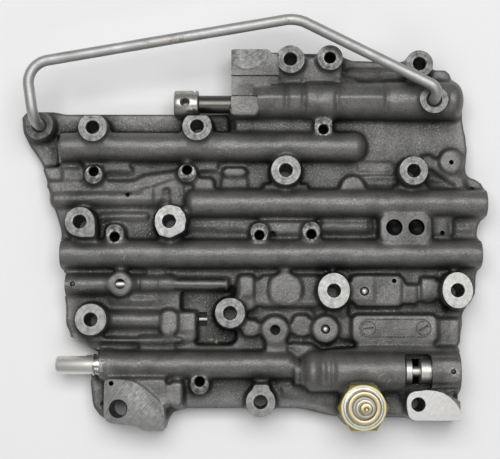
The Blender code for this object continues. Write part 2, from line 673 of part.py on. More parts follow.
def casting_outline():
    """The edge of the casting, clockwise from its upper left corner."""
    head_right = HEAD_BLOCK_X + HEAD_BLOCK_WIDTH
    second_end = VALVE_LINES["accumulator_valve"]["mouth_x"]
    third_end = VALVE_LINES["relay_valve"]["mouth_x"]
    third_start = VALVE_LINES["pressure_regulator_valve"]["mouth_x"]
    slim_start = VALVE_LINES["governor_valve"]["mouth_x"]
    window_end = VALVE_LINES["timing_valve"]["mouth_x"]
    top_step = SHELF_Y + SHELF_STEP
    return rounded(
        [
            (LEFT_X, top_step),
            (TUBE_LEFT_X + TUBE_BOSS_RADIUS, top_step),
            (TUBE_LEFT_X + 0.0120, SHELF_Y),
            (HEAD_BLOCK_X, SHELF_Y, 0.0005),
            (HEAD_BLOCK_X, HEAD_BLOCK_TOP_Y, 0.0015),
            (head_right, HEAD_BLOCK_TOP_Y, 0.0040),
            (0.0300, 0.1046),
            (0.0545, 0.1036),
            (0.0590, 0.1000),
            (0.0905, 0.0996),
            (0.1085, 0.0960),
            (0.1092, 0.0904),
            (0.1204, 0.0904, 0.0070),
            (0.1262, 0.0824, 0.0070),
            (0.1262, 0.0600),
            (0.1292, 0.0500, 0.0100),
            (0.1272, 0.0330),
            (0.1290, 0.0290),
            (0.1355, 0.0285, 0.0060),
            (RIGHT_X, SECOND_ROW_Y + 0.0060, 0.0060),
            (second_end, SECOND_ROW_Y - 0.0080, 0.0050),
            (0.1320, -0.0010, 0.0060),
            (third_end, THIRD_ROW_Y + 0.0075),
            (third_end, THIRD_ROW_Y - 0.0075),
            (0.1325, -0.0270),
            (0.1318, -0.0425),
            (0.1238, -0.0480),
            (0.1240, -0.0610, 0.0060),
            (window_end, -0.0700),
            (window_end, -0.1030),
            (0.1220, -0.1115),
            (0.0905, -0.1110),
            (0.0510, -0.1105),
            (0.0385, -0.1082, 0.0060),
            (0.0300, LOWER_EDGE_Y),
            (-0.0050, LOWER_EDGE_Y),
            (-0.0400, LOWER_EDGE_Y, 0.0060),
            (-0.0482, -0.1100, 0.0040),
            (-0.0484, TOE_Y),
            (-0.0595, TOE_Y),
            (-0.0655, -0.1149),
            (-0.0806, -0.1134),
            (-0.0900, -0.1080),
            (-0.0925, -0.0960, 0.0060),
            (-0.0935, -0.0750, 0.0060),
            (-0.1072, -0.0630, 0.0060),
            (slim_start, -0.0500),
            (slim_start, -0.0265),
            (third_start, -0.0245),
            (third_start, -0.0080),
            (-0.1122, 0.0040, 0.0060),
            (-0.1180, 0.0160, 0.0060),
            (-0.1190, 0.0250, 0.0060),
            (-0.1262, 0.0440, 0.0060),
            (LEFT_X + 0.0020, 0.0520, 0.0060),
        ],
        OUTLINE_FILLET,
    )


def deck_cutters():
    """What lowers the web: the shelf under the manual valve, two clear ends and the pocket."""
    line = VALVE_LINES["shift_valve"]
    wall = line["radius"] + line["wall"]
    rod_clear = PLUNGER_RADIUS + 0.0020
    shelf = [
        (LEFT_X - 0.01, SHELF_Y + 0.01),
        (HEAD_BLOCK_X, SHELF_Y + 0.01),
        (HEAD_BLOCK_X, line["y"] + wall - CUT_PAST),
        (line["mouth_x"], line["y"] + wall - CUT_PAST),
        (line["mouth_x"], line["y"] - wall - 0.0030),
        (LEFT_X - 0.01, line["y"] - wall - 0.0030),
    ]
    notch = box_corners(LEFT_X, COLLAR_X - PLUG_CHAMFER, PLUNGER_ROW_Y - rod_clear, PLUNGER_ROW_Y + rod_clear)
    return [
        prism("shelf_cut", shelf, DECK_TOP, BOSS_TOP),
        prism("plunger_notch", notch, DECK_TOP, BOSS_TOP),
        sunk_box("pocket", POCKET, BOSS_TOP),
    ]


def manual_ridge():
    """The head block's ridge, whose crown steps down between its collars."""
    full = MANUAL_BORE_RADIUS + MANUAL_BORE_WALL
    low = full - MANUAL_RIDGE_STEP
    sections = [
        (HEAD_BLOCK_X, low), (0.0318, low), (0.0324, full), (0.0506, full), (0.0512, low),
        (0.0795, low), (0.0801, full - MANUAL_RIDGE_STEP / 2),
    ]
    end = domed(0.1262, full - MANUAL_RIDGE_STEP / 2, 1, 0.0060)
    return ridge("manual_ridge", MANUAL_ROW_Y + MANUAL_RIDGE_SHIFT, BIG_BORE_AXIS_Z, sections + end)


def ridges():
    """The cast walls round the valve bores and oil ways."""
    walls = {name: line["radius"] + line["wall"] for name, line in VALVE_LINES.items()}
    mouths = {name: line["mouth_x"] for name, line in VALVE_LINES.items()}
    collar = sleeve_radius() + SLEEVE_IRON_WALL
    barrel = collar - SLEEVE_COLLAR_STEP
    shift, second, third = walls["shift_valve"], walls["accumulator_valve"], walls["relay_valve"]
    slim, window = walls["governor_valve"], walls["timing_valve"]
    third_ends = [(mouths["pressure_regulator_valve"], third), (mouths["relay_valve"], third)]
    collar_end = COLLAR_X + SLEEVE_COLLAR
    made = [
        ridge("shift_ridge", SHIFT_ROW_Y, BORE_AXIS_Z,
              [(mouths["shift_valve"], shift)] + domed(0.0685, shift, 1, 0.0070)),
        ridge("second_ridge", SECOND_ROW_Y, BORE_AXIS_Z,
              domed(-0.0385, second, -1, 0.0050) + [(mouths["accumulator_valve"], second)]),
        ridge("third_ridge", THIRD_ROW_Y, BORE_AXIS_Z, third_ends),
        ridge("plunger_ridge", PLUNGER_ROW_Y, BORE_AXIS_Z,
              [(COLLAR_X, collar), (collar_end, collar), (collar_end + SLEEVE_COLLAR_STEP, barrel)]
              + domed(0.0285, barrel, 1)),
        ridge("window_ridge", WINDOW_ROW_Y, BIG_BORE_AXIS_Z,
              domed(0.0290, window, -1, 0.0060) + [(mouths["timing_valve"], window)]),
        ridge("slim_ridge", SLIM_ROW_Y, VALVE_LINES["governor_valve"]["z"],
              [(mouths["governor_valve"], slim)] + domed(-0.0680, slim, 1, 0.0030)),
        manual_ridge(),
    ]
    for name, (x_low, x_high, y, z, radius) in OIL_RIDGES.items():
        made.append(ridge(name, y, z, domed(x_low, radius, -1) + domed(x_high, radius, 1)))
    for name, (width, top, route) in RIBS.items():
        made.append(prism(name, strip_outline(route, width), FOOT_Z, top))
    return made


def tube_ends():
    """Where the oil tube's two ends stand, and the tops of their bosses."""
    return {
        "left": (TUBE_LEFT_X, TUBE_LEFT_Y, TUBE_LEFT_BOSS_TOP),
        "right": (TUBE_RIGHT_X, TUBE_RIGHT_Y, TUBE_RIGHT_BOSS_TOP),
    }


def boss_posts():
    """Bolt bosses, tapped bosses, tube bosses and the switch boss."""
    made = []
    head_clear_y = MANUAL_ROW_Y - MANUAL_HEAD_RADIUS - 2 * GAP
    for name, (x, y, half_x, half_y) in BOLT_BOSSES.items():
        if y < head_clear_y < y + half_y:
            # The bosses on the shelf are milled flat where the manual valve's head passes
            ring = ring_points(half_x, half_y, ROUND_SEGMENTS)
            corners = [(x + a, min(y + b, head_clear_y)) for a, b in ring]
            flat = sorted(corner for corner in corners if corner[1] == head_clear_y)
            ends = (flat[0], flat[-1])
            corners = [corner for corner in corners if corner[1] < head_clear_y or corner in ends]
            made.append(prism(name + "_boss", corners, FOOT_Z, BOSS_TOP))
        else:
            made.append(round_post(name + "_boss", x, y, BOSS_TOP, half_x, half_y))
    for name, place in BOSS_LUGS.items():
        made.append(prism(name, rounded(box_corners(*place), CAST_DRAFT), FOOT_Z, BOSS_TOP, CAST_DRAFT))
    made.append(round_post("blind_boss", *BLIND_BOSS, BOSS_TOP, BLIND_BOSS_RADIUS))
    for name, (x, y, side, flank) in SMALL_BOSSES.items():
        centre_y = y + side * SMALL_BOSS_SHIFT
        size = {"half_x": SMALL_BOSS_RADIUS, "segments": HOLE_SEGMENTS}
        made.append(round_post("small_boss_" + name, x, centre_y, SMALL_BOSS_TOP, **size))
        if flank:
            # A web that runs from the boss out to the ridge behind its hole
            root_y = centre_y - side * (SMALL_BOSS_RADIUS + SMALL_BOSS_SHIFT)
            corners = [
                (x - flank, root_y), (x + flank, root_y),
                (x + SMALL_BOSS_RADIUS / 2, centre_y + side * SMALL_BOSS_RADIUS),
                (x - SMALL_BOSS_RADIUS / 2, centre_y + side * SMALL_BOSS_RADIUS),
            ]
            made.append(prism("flank_" + name, corners, FOOT_Z, SMALL_BOSS_TOP - 2 * CAST_DRAFT))
    for side, (x, y, top) in tube_ends().items():
        made.append(round_post(f"tube_{side}_boss", x, y, top, TUBE_BOSS_RADIUS))
    made.append(round_post("switch_boss", SWITCH_X, SWITCH_Y, SWITCH_BOSS_TOP, SWITCH_BOSS_RADIUS))
    return made


def pads():
    """The cast pads, and the two ground corner pads with their curved edges."""
    made = []
    for name, (x_low, x_high, y_low, y_high, top, radius) in PADS.items():
        corners = rounded(box_corners(x_low, x_high, y_low, y_high), radius)
        made.append(prism(name, corners, FOOT_Z, top, PAD_DRAFT))
    for name, (x, y, radius, top) in ROUND_PADS.items():
        made.append(round_post(name, x, y, top, radius, segments=HOLE_SEGMENTS))
    dowel_pad = [
        (-0.0834, -0.0884), (-0.0743, -0.0884), (-0.0628, -0.0924), (-0.0530, -0.1009),
        (-0.0484, -0.1071), (-0.0484, TOE_Y, 0.0015), (-0.0595, TOE_Y), (-0.0655, -0.1149),
        (-0.0806, -0.1134), (-0.0835, -0.1105),
    ]
    dowel_shoulder = [(-0.0743, -0.0884), (-0.0484, -0.0884), (-0.0484, -0.1071)]
    corner_pad = [
        (0.0884, -0.1058), (0.0890, -0.0980, 0.0020), (0.0915, -0.0953), (0.1027, -0.0945), (0.1078, -0.0954),
        (0.1134, -0.0973), (0.1222, -0.1024, 0.0010), (0.1222, -0.1120, 0.0010), (0.0906, -0.1118, 0.0020),
    ]
    head_block = rounded(
        box_corners(HEAD_BLOCK_X, HEAD_BLOCK_X + HEAD_BLOCK_WIDTH, MANUAL_ROW_Y, HEAD_BLOCK_TOP_Y - PAD_DRAFT),
        0.0010,
    )
    return made + [
        prism("dowel_pad", rounded(dowel_pad, 0.0015), FOOT_Z, LOW_PAD_TOP),
        prism("dowel_shoulder", dowel_shoulder, FOOT_Z, LOW_PAD_TOP - CAST_DRAFT),
        prism("corner_pad", rounded(corner_pad, 0.0030), FOOT_Z, BOSS_TOP),
        prism("head_block", head_block, FOOT_Z, LOW_PAD_TOP),
    ]


def bolt_holes():
    """The holes that go right through: for the bolts, and for the dowel."""
    low, high = -CUT_PAST, BOSS_TOP + CUT_PAST
    places = {name: place[:2] for name, place in BOLT_BOSSES.items()}
    places["corner_pad"] = CORNER_PAD_HOLE
    made = [upright(name + "_hole", x, y, low, high, BOLT_HOLE_RADIUS) for name, (x, y) in places.items()]
    return made + [upright("dowel_hole", *DOWEL_HOLE, low, high, DOWEL_HOLE_RADIUS)]


def small_holes():
    """Tapped holes, vents, check-ball seats, tube sockets and the switch thread."""
    high = BOSS_TOP + CUT_PAST
    made = [upright("blind_hole", *BLIND_BOSS, WEB_TOP, high, BLIND_HOLE_RADIUS)]
    for name, (x, y, *_) in SMALL_BOSSES.items():
        made.append(upright("tap_" + name, x, y, SMALL_HOLE_FLOOR, high, SMALL_HOLE_RADIUS, SMALL_SEGMENTS))
    x, y = ROUND_PADS["teardrop_pad"][:2]
    made.append(upright("teardrop_hole", x, y, SMALL_HOLE_FLOOR, high, SMALL_HOLE_RADIUS, SMALL_SEGMENTS))
    for i, (x, y) in enumerate(VENTS):
        made.append(upright(f"vent_{i}", x, y, VENT_FLOOR, high, VENT_RADIUS, PIN_SEGMENTS))
    for name, (x, y) in BALL_HOLES.items():
        made.append(upright(name + "_well", x, y, BALL_SEAT_Z, high, BALL_RADIUS + GAP, SMALL_SEGMENTS))
    for i, (x, y) in enumerate(TWIN_HOLES):
        made.append(upright(f"twin_{i}", x, y, TWIN_HOLE_FLOOR, high, TWIN_HOLE_RADIUS))
    x, y = ROUND_PADS["gauge_pad"][:2]
    gauge_floor = VALVE_LINES["governor_valve"]["z"]
    made.append(upright("gauge_hole", x, y, gauge_floor, high, SMALL_HOLE_RADIUS, SMALL_SEGMENTS))
    way_in = TRACK_DEPTH - CUT_PAST
    drilling = TUBE_RADIUS - TUBE_SEAT_SHOULDER
    for side, (x, y, top) in tube_ends().items():
        seat, socket = top - TUBE_SEAT_DEPTH - GAP, TUBE_RADIUS + GAP
        made.append(upright(f"tube_{side}_socket", x, y, seat, top + CUT_PAST, socket, SMALL_SEGMENTS))
        made.append(upright(f"tube_{side}_drilling", x, y, way_in, top, drilling, SMALL_SEGMENTS))
    spotface = SWITCH_HEX_FLATS / math.cos(math.pi / 6) / 2 + SWITCH_SPOTFACE_CLEARANCE
    spotface_top = SWITCH_BOSS_TOP + SWITCH_SPOTFACE_HEIGHT
    thread_top = SWITCH_BOSS_TOP + CUT_PAST
    made.append(
        upright("switch_spotface", SWITCH_X, SWITCH_Y, SWITCH_BOSS_TOP, spotface_top, spotface, ROUND_SEGMENTS)
    )
    made.append(upright("switch_thread", SWITCH_X, SWITCH_Y, way_in, thread_top, SWITCH_STUD_RADIUS + GAP))
    return made


def windows():
    """The opening over the timing valve, the pocket's slot and the recess beside the head block."""
    top = BOSS_TOP + WINDOW_BORE_WALL
    return [
        sunk_box("valve_window", VALVE_WINDOW, top),
        sunk_box("pocket_slot", POCKET_SLOT, BOSS_TOP),
        sunk_box("shelf_recess", SHELF_RECESS, WEB_TOP),
    ]


def bores():
    """Each valve's bore, the manual bore, the stepped plunger bore and the pin holes."""
    made = []
    for name, line in VALVE_LINES.items():
        made.append(line_bore(name + "_bore", line, line["radius"], line_places(line)["bottom"]))
        x = line["mouth_x"] + line["into"] * PIN_INSET
        low, high = pin_span(line)
        if line["pin_from_top"]:
            low, high = low - GAP, crown_z(line) + CUT_PAST
        else:
            low, high = -CUT_PAST, high + GAP
        made.append(upright(name + "_pin_hole", x, line["y"], low, high, PIN_RADIUS + GAP, PIN_SEGMENTS))
    manual = {"mouth_x": HEAD_BLOCK_X, "into": 1, "y": MANUAL_ROW_Y, "z": BIG_BORE_AXIS_Z}
    manual_depth = MANUAL_LANDS[-1][1] + MANUAL_STANDOFF + MANUAL_RUN_OUT
    made.append(line_bore("manual_bore", manual, MANUAL_BORE_RADIUS, manual_depth))
    made.append(line_bore("sleeve_bore", PLUNGER_LINE, sleeve_radius() + GAP, SLEEVE_LENGTH + GAP))
    made.append(line_bore("plunger_bore", PLUNGER_LINE, BORE_RADIUS, plunger_places()["bottom"]))
    x, top, radius = sleeve_pin_x(), sleeve_pin_span()[1] + GAP, PIN_RADIUS + GAP
    return made + [upright("sleeve_pin_hole", x, PLUNGER_ROW_Y, -CUT_PAST, top, radius, PIN_SEGMENTS)]


def worm_tracks():
    made = [
        prism(name + "_track", strip_outline(route, TRACK_WIDTH), -CUT_PAST, TRACK_DEPTH)
        for name, route in TRACKS.items()
    ]
    for i, (x, y) in enumerate(PORTS):
        outline = box_corners(x - PORT_LENGTH / 2, x + PORT_LENGTH / 2, y - PORT_WIDTH / 2, y + PORT_WIDTH / 2)
        made.append(prism(f"port_{i}", outline, TRACK_DEPTH - PORT_OVERLAP, BORE_AXIS_Z))
    return made


def make_casting(look):
    body = prism("valve_body_casting", casting_outline(), 0.0, WEB_TOP)
    # The exact solver leaves open edges where this many shapes cross, so the casting takes the other
    combine(body, deck_cutters(), "DIFFERENCE", "lowered_decks", "MANIFOLD")
    combine(body, ridges() + boss_posts() + pads(), "UNION", "cast_features", "MANIFOLD")
    machining = bolt_holes() + small_holes() + windows() + bores() + worm_tracks()
    combine(body, machining, "DIFFERENCE", "machining", "MANIFOLD")
    body.data.materials.append(look)


def sleeve_radius():
    return PLUNGER_RADIUS + GAP + SLEEVE_WALL


def sleeve_pin_x():
    return COLLAR_X + SLEEVE_LENGTH + GAP + PIN_RADIUS + GAP


def sleeve_pin_span():
    return PIN_FOOT_Z, BORE_AXIS_Z - BORE_RADIUS + SLEEVE_PIN_BITE


def plunger_places():
    """Distances in from the collar of what lies behind the plunger."""
    shoulder = SLEEVE_LENGTH - PLUNGER_TRAVEL - GAP
    plunger_end = shoulder + PLUNGER_NOSE_LENGTH
    spring = plunger_end + GAP
    spool = spring + PLUNGER_LINE["spring"] + GAP
    bottom = spool + spool_length(PLUNGER_LINE) + GAP
    return {
        "shoulder": shoulder, "plunger_end": plunger_end, "spring": spring, "spool": spool, "bottom": bottom,
    }


def rounded_route(corners, radii, steps=5):
    """A 3-D route whose corners are replaced by arcs of the given bend radii."""
    points = [corners[0]]
    for before, here, after, radius in zip(corners, corners[1:], corners[2:], radii):
        unit_in = [(b - h) / math.dist(before, here) for b, h in zip(before, here)]
        unit_out = [(a - h) / math.dist(after, here) for a, h in zip(after, here)]
        cosine = sum(p * q for p, q in zip(unit_in, unit_out))
        half = math.acos(max(-1, min(1, cosine))) / 2
        reach = radius / math.tan(half)
        bisector = [p + q for p, q in zip(unit_in, unit_out)]
        length = math.sqrt(sum(b * b for b in bisector))
        centre = [h + b / length * radius / math.sin(half) for h, b in zip(here, bisector)]
        start = [h + u * reach for h, u in zip(here, unit_in)]
        end = [h + u * reach for h, u in zip(here, unit_out)]
        sweep = math.pi - 2 * half
        first = [s - c for s, c in zip(start, centre)]
        second = [e - c for e, c in zip(end, centre)]
        for k in range(steps + 1):
            angle = sweep * k / steps
            share = (math.sin(sweep - angle) / math.sin(sweep), math.sin(angle) / math.sin(sweep))
            points.append(
                tuple(c + share[0] * f + share[1] * s for c, f, s in zip(centre, first, second))
            )
    points.append(corners[-1])
    return points


def make_tube(look):
    """The steel line that carries oil over the casting from one boss to the other."""
    (left_x, left_y, left_top), (right_x, right_y, right_top) = tube_ends().values()
    corners = [
        (left_x, left_y, left_top - TUBE_SEAT_DEPTH), (left_x, left_y, TUBE_HEIGHT),
        (TUBE_SHOULDER_X, TUBE_SHOULDER_Y, TUBE_HEIGHT), (TUBE_PEAK_X, TUBE_PEAK_Y, TUBE_HEIGHT),
        (right_x + TUBE_OVERSHOOT_X, right_y + TUBE_OVERSHOOT_Y, TUBE_HEIGHT), (right_x, right_y, TUBE_DROP_HEIGHT),
        (right_x, right_y, right_top - TUBE_SEAT_DEPTH),
    ]
    bends = (
        TUBE_END_BEND_RADIUS, TUBE_BEND_RADIUS, TUBE_PEAK_BEND_RADIUS,
        TUBE_LAST_BEND_RADIUS, TUBE_LAST_BEND_RADIUS,
    )
    route = rounded_route(corners, bends)
    curve = bpy.data.curves.new("oil_transfer_tube", "CURVE")
    curve.dimensions = "3D"
    curve.bevel_depth = TUBE_RADIUS
    curve.bevel_resolution = 2
    curve.use_fill_caps = True
    spline = curve.splines.new("POLY")
    spline.points.add(len(route) - 1)
    for point, place in zip(spline.points, route):
        point.co = (*place, 1.0)
    made = bpy.data.objects.new("oil_transfer_tube", curve)
    bpy.context.scene.collection.objects.link(made)
    made.data.materials.append(look)


def make_manual_valve(look):
    """The selector valve: a grooved head with a cross hole, a shaft, and lands inside the bore."""
    land = MANUAL_BORE_RADIUS - GAP
    head, shaft, chamfer = MANUAL_HEAD_RADIUS, MANUAL_SHAFT_RADIUS, 2 * EDGE_CHAMFER
    back = -MANUAL_STANDOFF
    front = back - MANUAL_HEAD_LENGTH
    groove = back - MANUAL_GROOVE_BACK
    profile = [
        (front, head - chamfer), (front + chamfer, head),
        (groove, head), (groove, head - MANUAL_GROOVE_DEPTH),
        (groove + MANUAL_GROOVE_WIDTH, head - MANUAL_GROOVE_DEPTH), (groove + MANUAL_GROOVE_WIDTH, head),
        (back - chamfer, head), (back, head - chamfer), (back, shaft),
    ]
    for start, end in MANUAL_LANDS[:-1]:
        profile.extend([(start, shaft), (start, land), (end, land), (end, shaft)])
    start, end = MANUAL_LANDS[-1]
    profile.extend([(start, shaft), (start, land), (end - chamfer, land), (end, land - chamfer)])
    made = turned("manual_valve", profile, ROUND_SEGMENTS, "X", (HEAD_BLOCK_X, MANUAL_ROW_Y, BIG_BORE_AXIS_Z))
    cross_x = HEAD_BLOCK_X + back - MANUAL_CROSS_HOLE_BACK
    low, high = BIG_BORE_AXIS_Z - head - CUT_PAST, BIG_BORE_AXIS_Z + head + CUT_PAST
    subtract(made, [upright("cross_hole", cross_x, MANUAL_ROW_Y, low, high, MANUAL_CROSS_HOLE_RADIUS)])
    made.data.materials.append(look)


def make_plunger_line(steel, spring_steel):
    """The throttle plunger in its sleeve, and the spring and valve behind it."""
    places = plunger_places()
    at = (COLLAR_X, PLUNGER_ROW_Y, BORE_AXIS_Z)
    shoulder, end = places["shoulder"], places["plunger_end"]
    plunger = turned(
        "throttle_plunger",
        [(-PLUNGER_REACH, PLUNGER_RADIUS - PLUNGER_CHAMFER), (-PLUNGER_REACH + PLUNGER_CHAMFER, PLUNGER_RADIUS),
         (shoulder, PLUNGER_RADIUS), (shoulder, PLUNGER_NOSE_RADIUS),
         (end - PLUG_CHAMFER, PLUNGER_NOSE_RADIUS), (end, PLUNGER_NOSE_RADIUS - PLUG_CHAMFER)],
        ROUND_SEGMENTS, "X", at,
    )
    plunger.data.materials.append(steel)
    bore, outer = PLUNGER_RADIUS + GAP, sleeve_radius()
    sleeve = turned(
        "plunger_sleeve",
        [(-SLEEVE_PROUD, outer - EDGE_CHAMFER), (EDGE_CHAMFER - SLEEVE_PROUD, outer), (SLEEVE_LENGTH, outer)],
        ROUND_SEGMENTS, "X", at,
    )
    hollow = [(-SLEEVE_PROUD - CUT_PAST, bore), (SLEEVE_LENGTH + CUT_PAST, bore)]
    subtract(sleeve, [turned("sleeve_hollow", hollow, ROUND_SEGMENTS, "X", at)])
    sleeve.data.materials.append(steel)
    start, profile = facing(PLUNGER_LINE, spool_profile(PLUNGER_LINE), places["spool"])
    valve = turned("throttle_valve", profile, HOLE_SEGMENTS, "X", (start, PLUNGER_ROW_Y, BORE_AXIS_Z))
    valve.data.materials.append(steel)
    make_spring("throttle_spring", PLUNGER_LINE, places["spring"], spring_steel)
    make_pin("sleeve_pin", sleeve_pin_x(), PLUNGER_ROW_Y, sleeve_pin_span(), steel)


def make_valve_lines(steel, spring_steel, plug_metal):
    for name, line in VALVE_LINES.items():
        places = line_places(line)
        start, profile = facing(line, spool_profile(line), places["spool"])
        spool = turned(name, profile, HOLE_SEGMENTS, "X", (start, line["y"], line["z"]))
        spool.data.materials.append(steel)
        stem = name.removesuffix("_valve")
        slotted_plug(stem + "_plug", line, places["plug"], plug_metal)
        make_spring(stem + "_spring", line, places["spring"], spring_steel)
        make_pin(stem + "_pin", line["mouth_x"] + line["into"] * PIN_INSET, line["y"], pin_span(line), steel)


def make_switch(shell_metal, insulator_look, terminal_metal):
    """The oil pressure switch: a hex body with a crimped cup, its insulator and its terminal."""
    at = (SWITCH_X, SWITCH_Y, 0)
    seat = SWITCH_BOSS_TOP + GAP
    hex_top = seat + SWITCH_HEX_HEIGHT
    rim_top = hex_top + SWITCH_RIM_HEIGHT
    crimp_top = rim_top + SWITCH_CRIMP_HEIGHT
    cup_floor = crimp_top - SWITCH_CUP_DEPTH
    corner = SWITCH_HEX_FLATS / math.cos(math.pi / 6) / 2
    hexagon = [(SWITCH_X + a, SWITCH_Y + b) for a, b in ring_points(corner, corner, 6, 0.0)]
    body = prism("switch_body", hexagon, seat, hex_top)
    shell = {
        "switch_stud": [
            (seat - SWITCH_STUD_LENGTH, SWITCH_STUD_RADIUS - 2 * EDGE_CHAMFER),
            (seat + CUT_PAST, SWITCH_STUD_RADIUS),
        ],
        "switch_rim": [
            (hex_top - CUT_PAST, SWITCH_RIM_RADIUS), (rim_top - EDGE_CHAMFER, SWITCH_RIM_RADIUS),
            (rim_top, SWITCH_RIM_RADIUS - EDGE_CHAMFER),
        ],
        "switch_crimp": [
            (rim_top - CUT_PAST, SWITCH_CRIMP_RADIUS + EDGE_CHAMFER),
            (crimp_top - INSULATOR_DROP, SWITCH_CRIMP_RADIUS),
            (crimp_top, SWITCH_CRIMP_RADIUS - 2 * EDGE_CHAMFER),
        ],
    }
    rings = [turned(name, profile, ROUND_SEGMENTS, "Z", at) for name, profile in shell.items()]
    combine(body, rings, "UNION", "switch_shell")
    cup = [(cup_floor, SWITCH_CUP_RADIUS), (crimp_top + CUT_PAST, SWITCH_CUP_RADIUS)]
    subtract(body, [turned("switch_cup", cup, ROUND_SEGMENTS, "Z", at)])
    body.data.materials.append(shell_metal)
    insulator_top, fitted = crimp_top - INSULATOR_DROP, SWITCH_CUP_RADIUS - GAP
    insulator = turned(
        "switch_insulator",
        [(cup_floor + GAP, fitted), (insulator_top - EDGE_CHAMFER, fitted),
         (insulator_top, fitted - EDGE_CHAMFER)],
        ROUND_SEGMENTS, "Z", at,
    )
    insulator.data.materials.append(insulator_look)
    base = insulator_top + GAP
    top = base + TERMINAL_HEIGHT
    neck_z, head_z = base + TERMINAL_COLLAR_HEIGHT, top - TERMINAL_HEAD
    neck = TERMINAL_RADIUS - TERMINAL_NECK
    terminal = turned(
        "switch_terminal",
        [(base, TERMINAL_COLLAR_RADIUS), (neck_z - EDGE_CHAMFER, TERMINAL_COLLAR_RADIUS),
         (neck_z, TERMINAL_COLLAR_RADIUS - EDGE_CHAMFER), (neck_z, neck), (head_z - TERMINAL_NECK, neck),
         (head_z, TERMINAL_RADIUS), (top - EDGE_CHAMFER, TERMINAL_RADIUS), (top, neck)],
        HOLE_SEGMENTS, "Z", at,
    )
    terminal.data.materials.append(terminal_metal)


def make_balls(steel):
    """Two check balls, each loose in its well."""
    for name, (x, y) in BALL_HOLES.items():
        bm = bmesh.new()
        bmesh.ops.create_icosphere(bm, subdivisions=2, radius=BALL_RADIUS)
        ball = finish_mesh(name, bm, (x, y, BALL_SEAT_Z + GAP + BALL_RADIUS))
        ball.data.materials.append(steel)


def main():
    for old in list(bpy.data.objects):
        bpy.data.objects.remove(old, do_unlink=True)
    iron = material("sand_cast_iron", "#6E6E6E", 0.62, 0.6)
    steel = material("ground_steel", "#C9C6C0", 0.28, 1.0)
    spring_steel = material("spring_wire", "#8F8F8F", 0.35, 1.0)
    tube_steel = material("drawn_steel_tube", "#B9B9B7", 0.32, 1.0)
    plug_metal = material("aluminium_plug", "#B4B6B8", 0.4, 1.0)
    zinc = material("yellow_zinc_plate", "#CFC49A", 0.35, 1.0)
    bakelite = material("dark_insulator", "#2B2A28", 0.5, 0.0)
    brass = material("brass_terminal", "#C9B680", 0.3, 1.0)
    make_casting(iron)
    make_tube(tube_steel)
    make_manual_valve(steel)
    make_plunger_line(steel, spring_steel)
    make_valve_lines(steel, spring_steel, plug_metal)
    make_switch(zinc, bakelite, brass)
    make_balls(steel)


main()
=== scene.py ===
import json
import math

import bmesh
import bpy
import numpy as np
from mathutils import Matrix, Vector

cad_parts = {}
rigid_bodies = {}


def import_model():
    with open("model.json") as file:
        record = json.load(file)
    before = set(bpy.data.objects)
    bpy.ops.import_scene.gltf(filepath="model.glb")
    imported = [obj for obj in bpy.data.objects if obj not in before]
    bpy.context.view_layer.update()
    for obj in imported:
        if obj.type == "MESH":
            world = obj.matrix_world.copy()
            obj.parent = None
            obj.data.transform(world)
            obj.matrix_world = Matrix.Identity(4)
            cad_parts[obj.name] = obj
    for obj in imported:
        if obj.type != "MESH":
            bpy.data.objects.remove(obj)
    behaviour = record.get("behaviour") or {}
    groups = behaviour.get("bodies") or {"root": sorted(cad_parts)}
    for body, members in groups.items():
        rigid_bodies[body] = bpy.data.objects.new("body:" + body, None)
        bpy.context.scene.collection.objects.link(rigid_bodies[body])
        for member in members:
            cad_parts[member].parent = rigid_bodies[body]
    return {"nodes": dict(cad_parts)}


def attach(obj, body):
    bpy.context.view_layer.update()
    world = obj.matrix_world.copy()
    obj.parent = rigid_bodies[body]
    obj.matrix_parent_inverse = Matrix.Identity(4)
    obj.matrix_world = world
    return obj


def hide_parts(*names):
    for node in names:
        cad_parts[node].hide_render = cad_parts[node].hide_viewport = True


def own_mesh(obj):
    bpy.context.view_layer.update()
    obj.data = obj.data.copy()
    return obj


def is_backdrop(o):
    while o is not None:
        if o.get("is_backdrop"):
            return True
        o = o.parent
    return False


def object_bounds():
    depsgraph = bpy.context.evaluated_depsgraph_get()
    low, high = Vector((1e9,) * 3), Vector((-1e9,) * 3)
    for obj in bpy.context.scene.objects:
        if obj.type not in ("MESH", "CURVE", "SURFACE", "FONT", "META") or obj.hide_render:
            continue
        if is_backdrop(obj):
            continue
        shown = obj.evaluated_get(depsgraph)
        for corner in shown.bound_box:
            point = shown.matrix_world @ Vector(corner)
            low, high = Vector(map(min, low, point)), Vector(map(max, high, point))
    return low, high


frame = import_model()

import openvdb
from mathutils import Vector

lowest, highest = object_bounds()


def hexColour(code):
    # An sRGB hex colour as linear red, green, blue and alpha
    channels = [int(code[i : i + 2], 16) / 255 for i in (1, 3, 5)]
    return (*[c / 12.92 if c <= 0.04045 else ((c + 0.055) / 1.055) ** 2.4 for c in channels], 1.0)


def meshObject(name, points, faces, look=None, smoothAngle=35):
    mesh = bpy.data.meshes.new(name)
    mesh.from_pydata([tuple(p) for p in points], [], faces)
    bm = bmesh.new()
    bm.from_mesh(mesh)
    bmesh.ops.recalc_face_normals(bm, faces=bm.faces)
    bm.to_mesh(mesh)
    bm.free()
    mesh.shade_smooth()
    mesh.set_sharp_from_angle(angle=math.radians(smoothAngle))
    made = bpy.data.objects.new(name, mesh)
    bpy.context.scene.collection.objects.link(made)
    if look:
        made.data.materials.append(look)
    return made


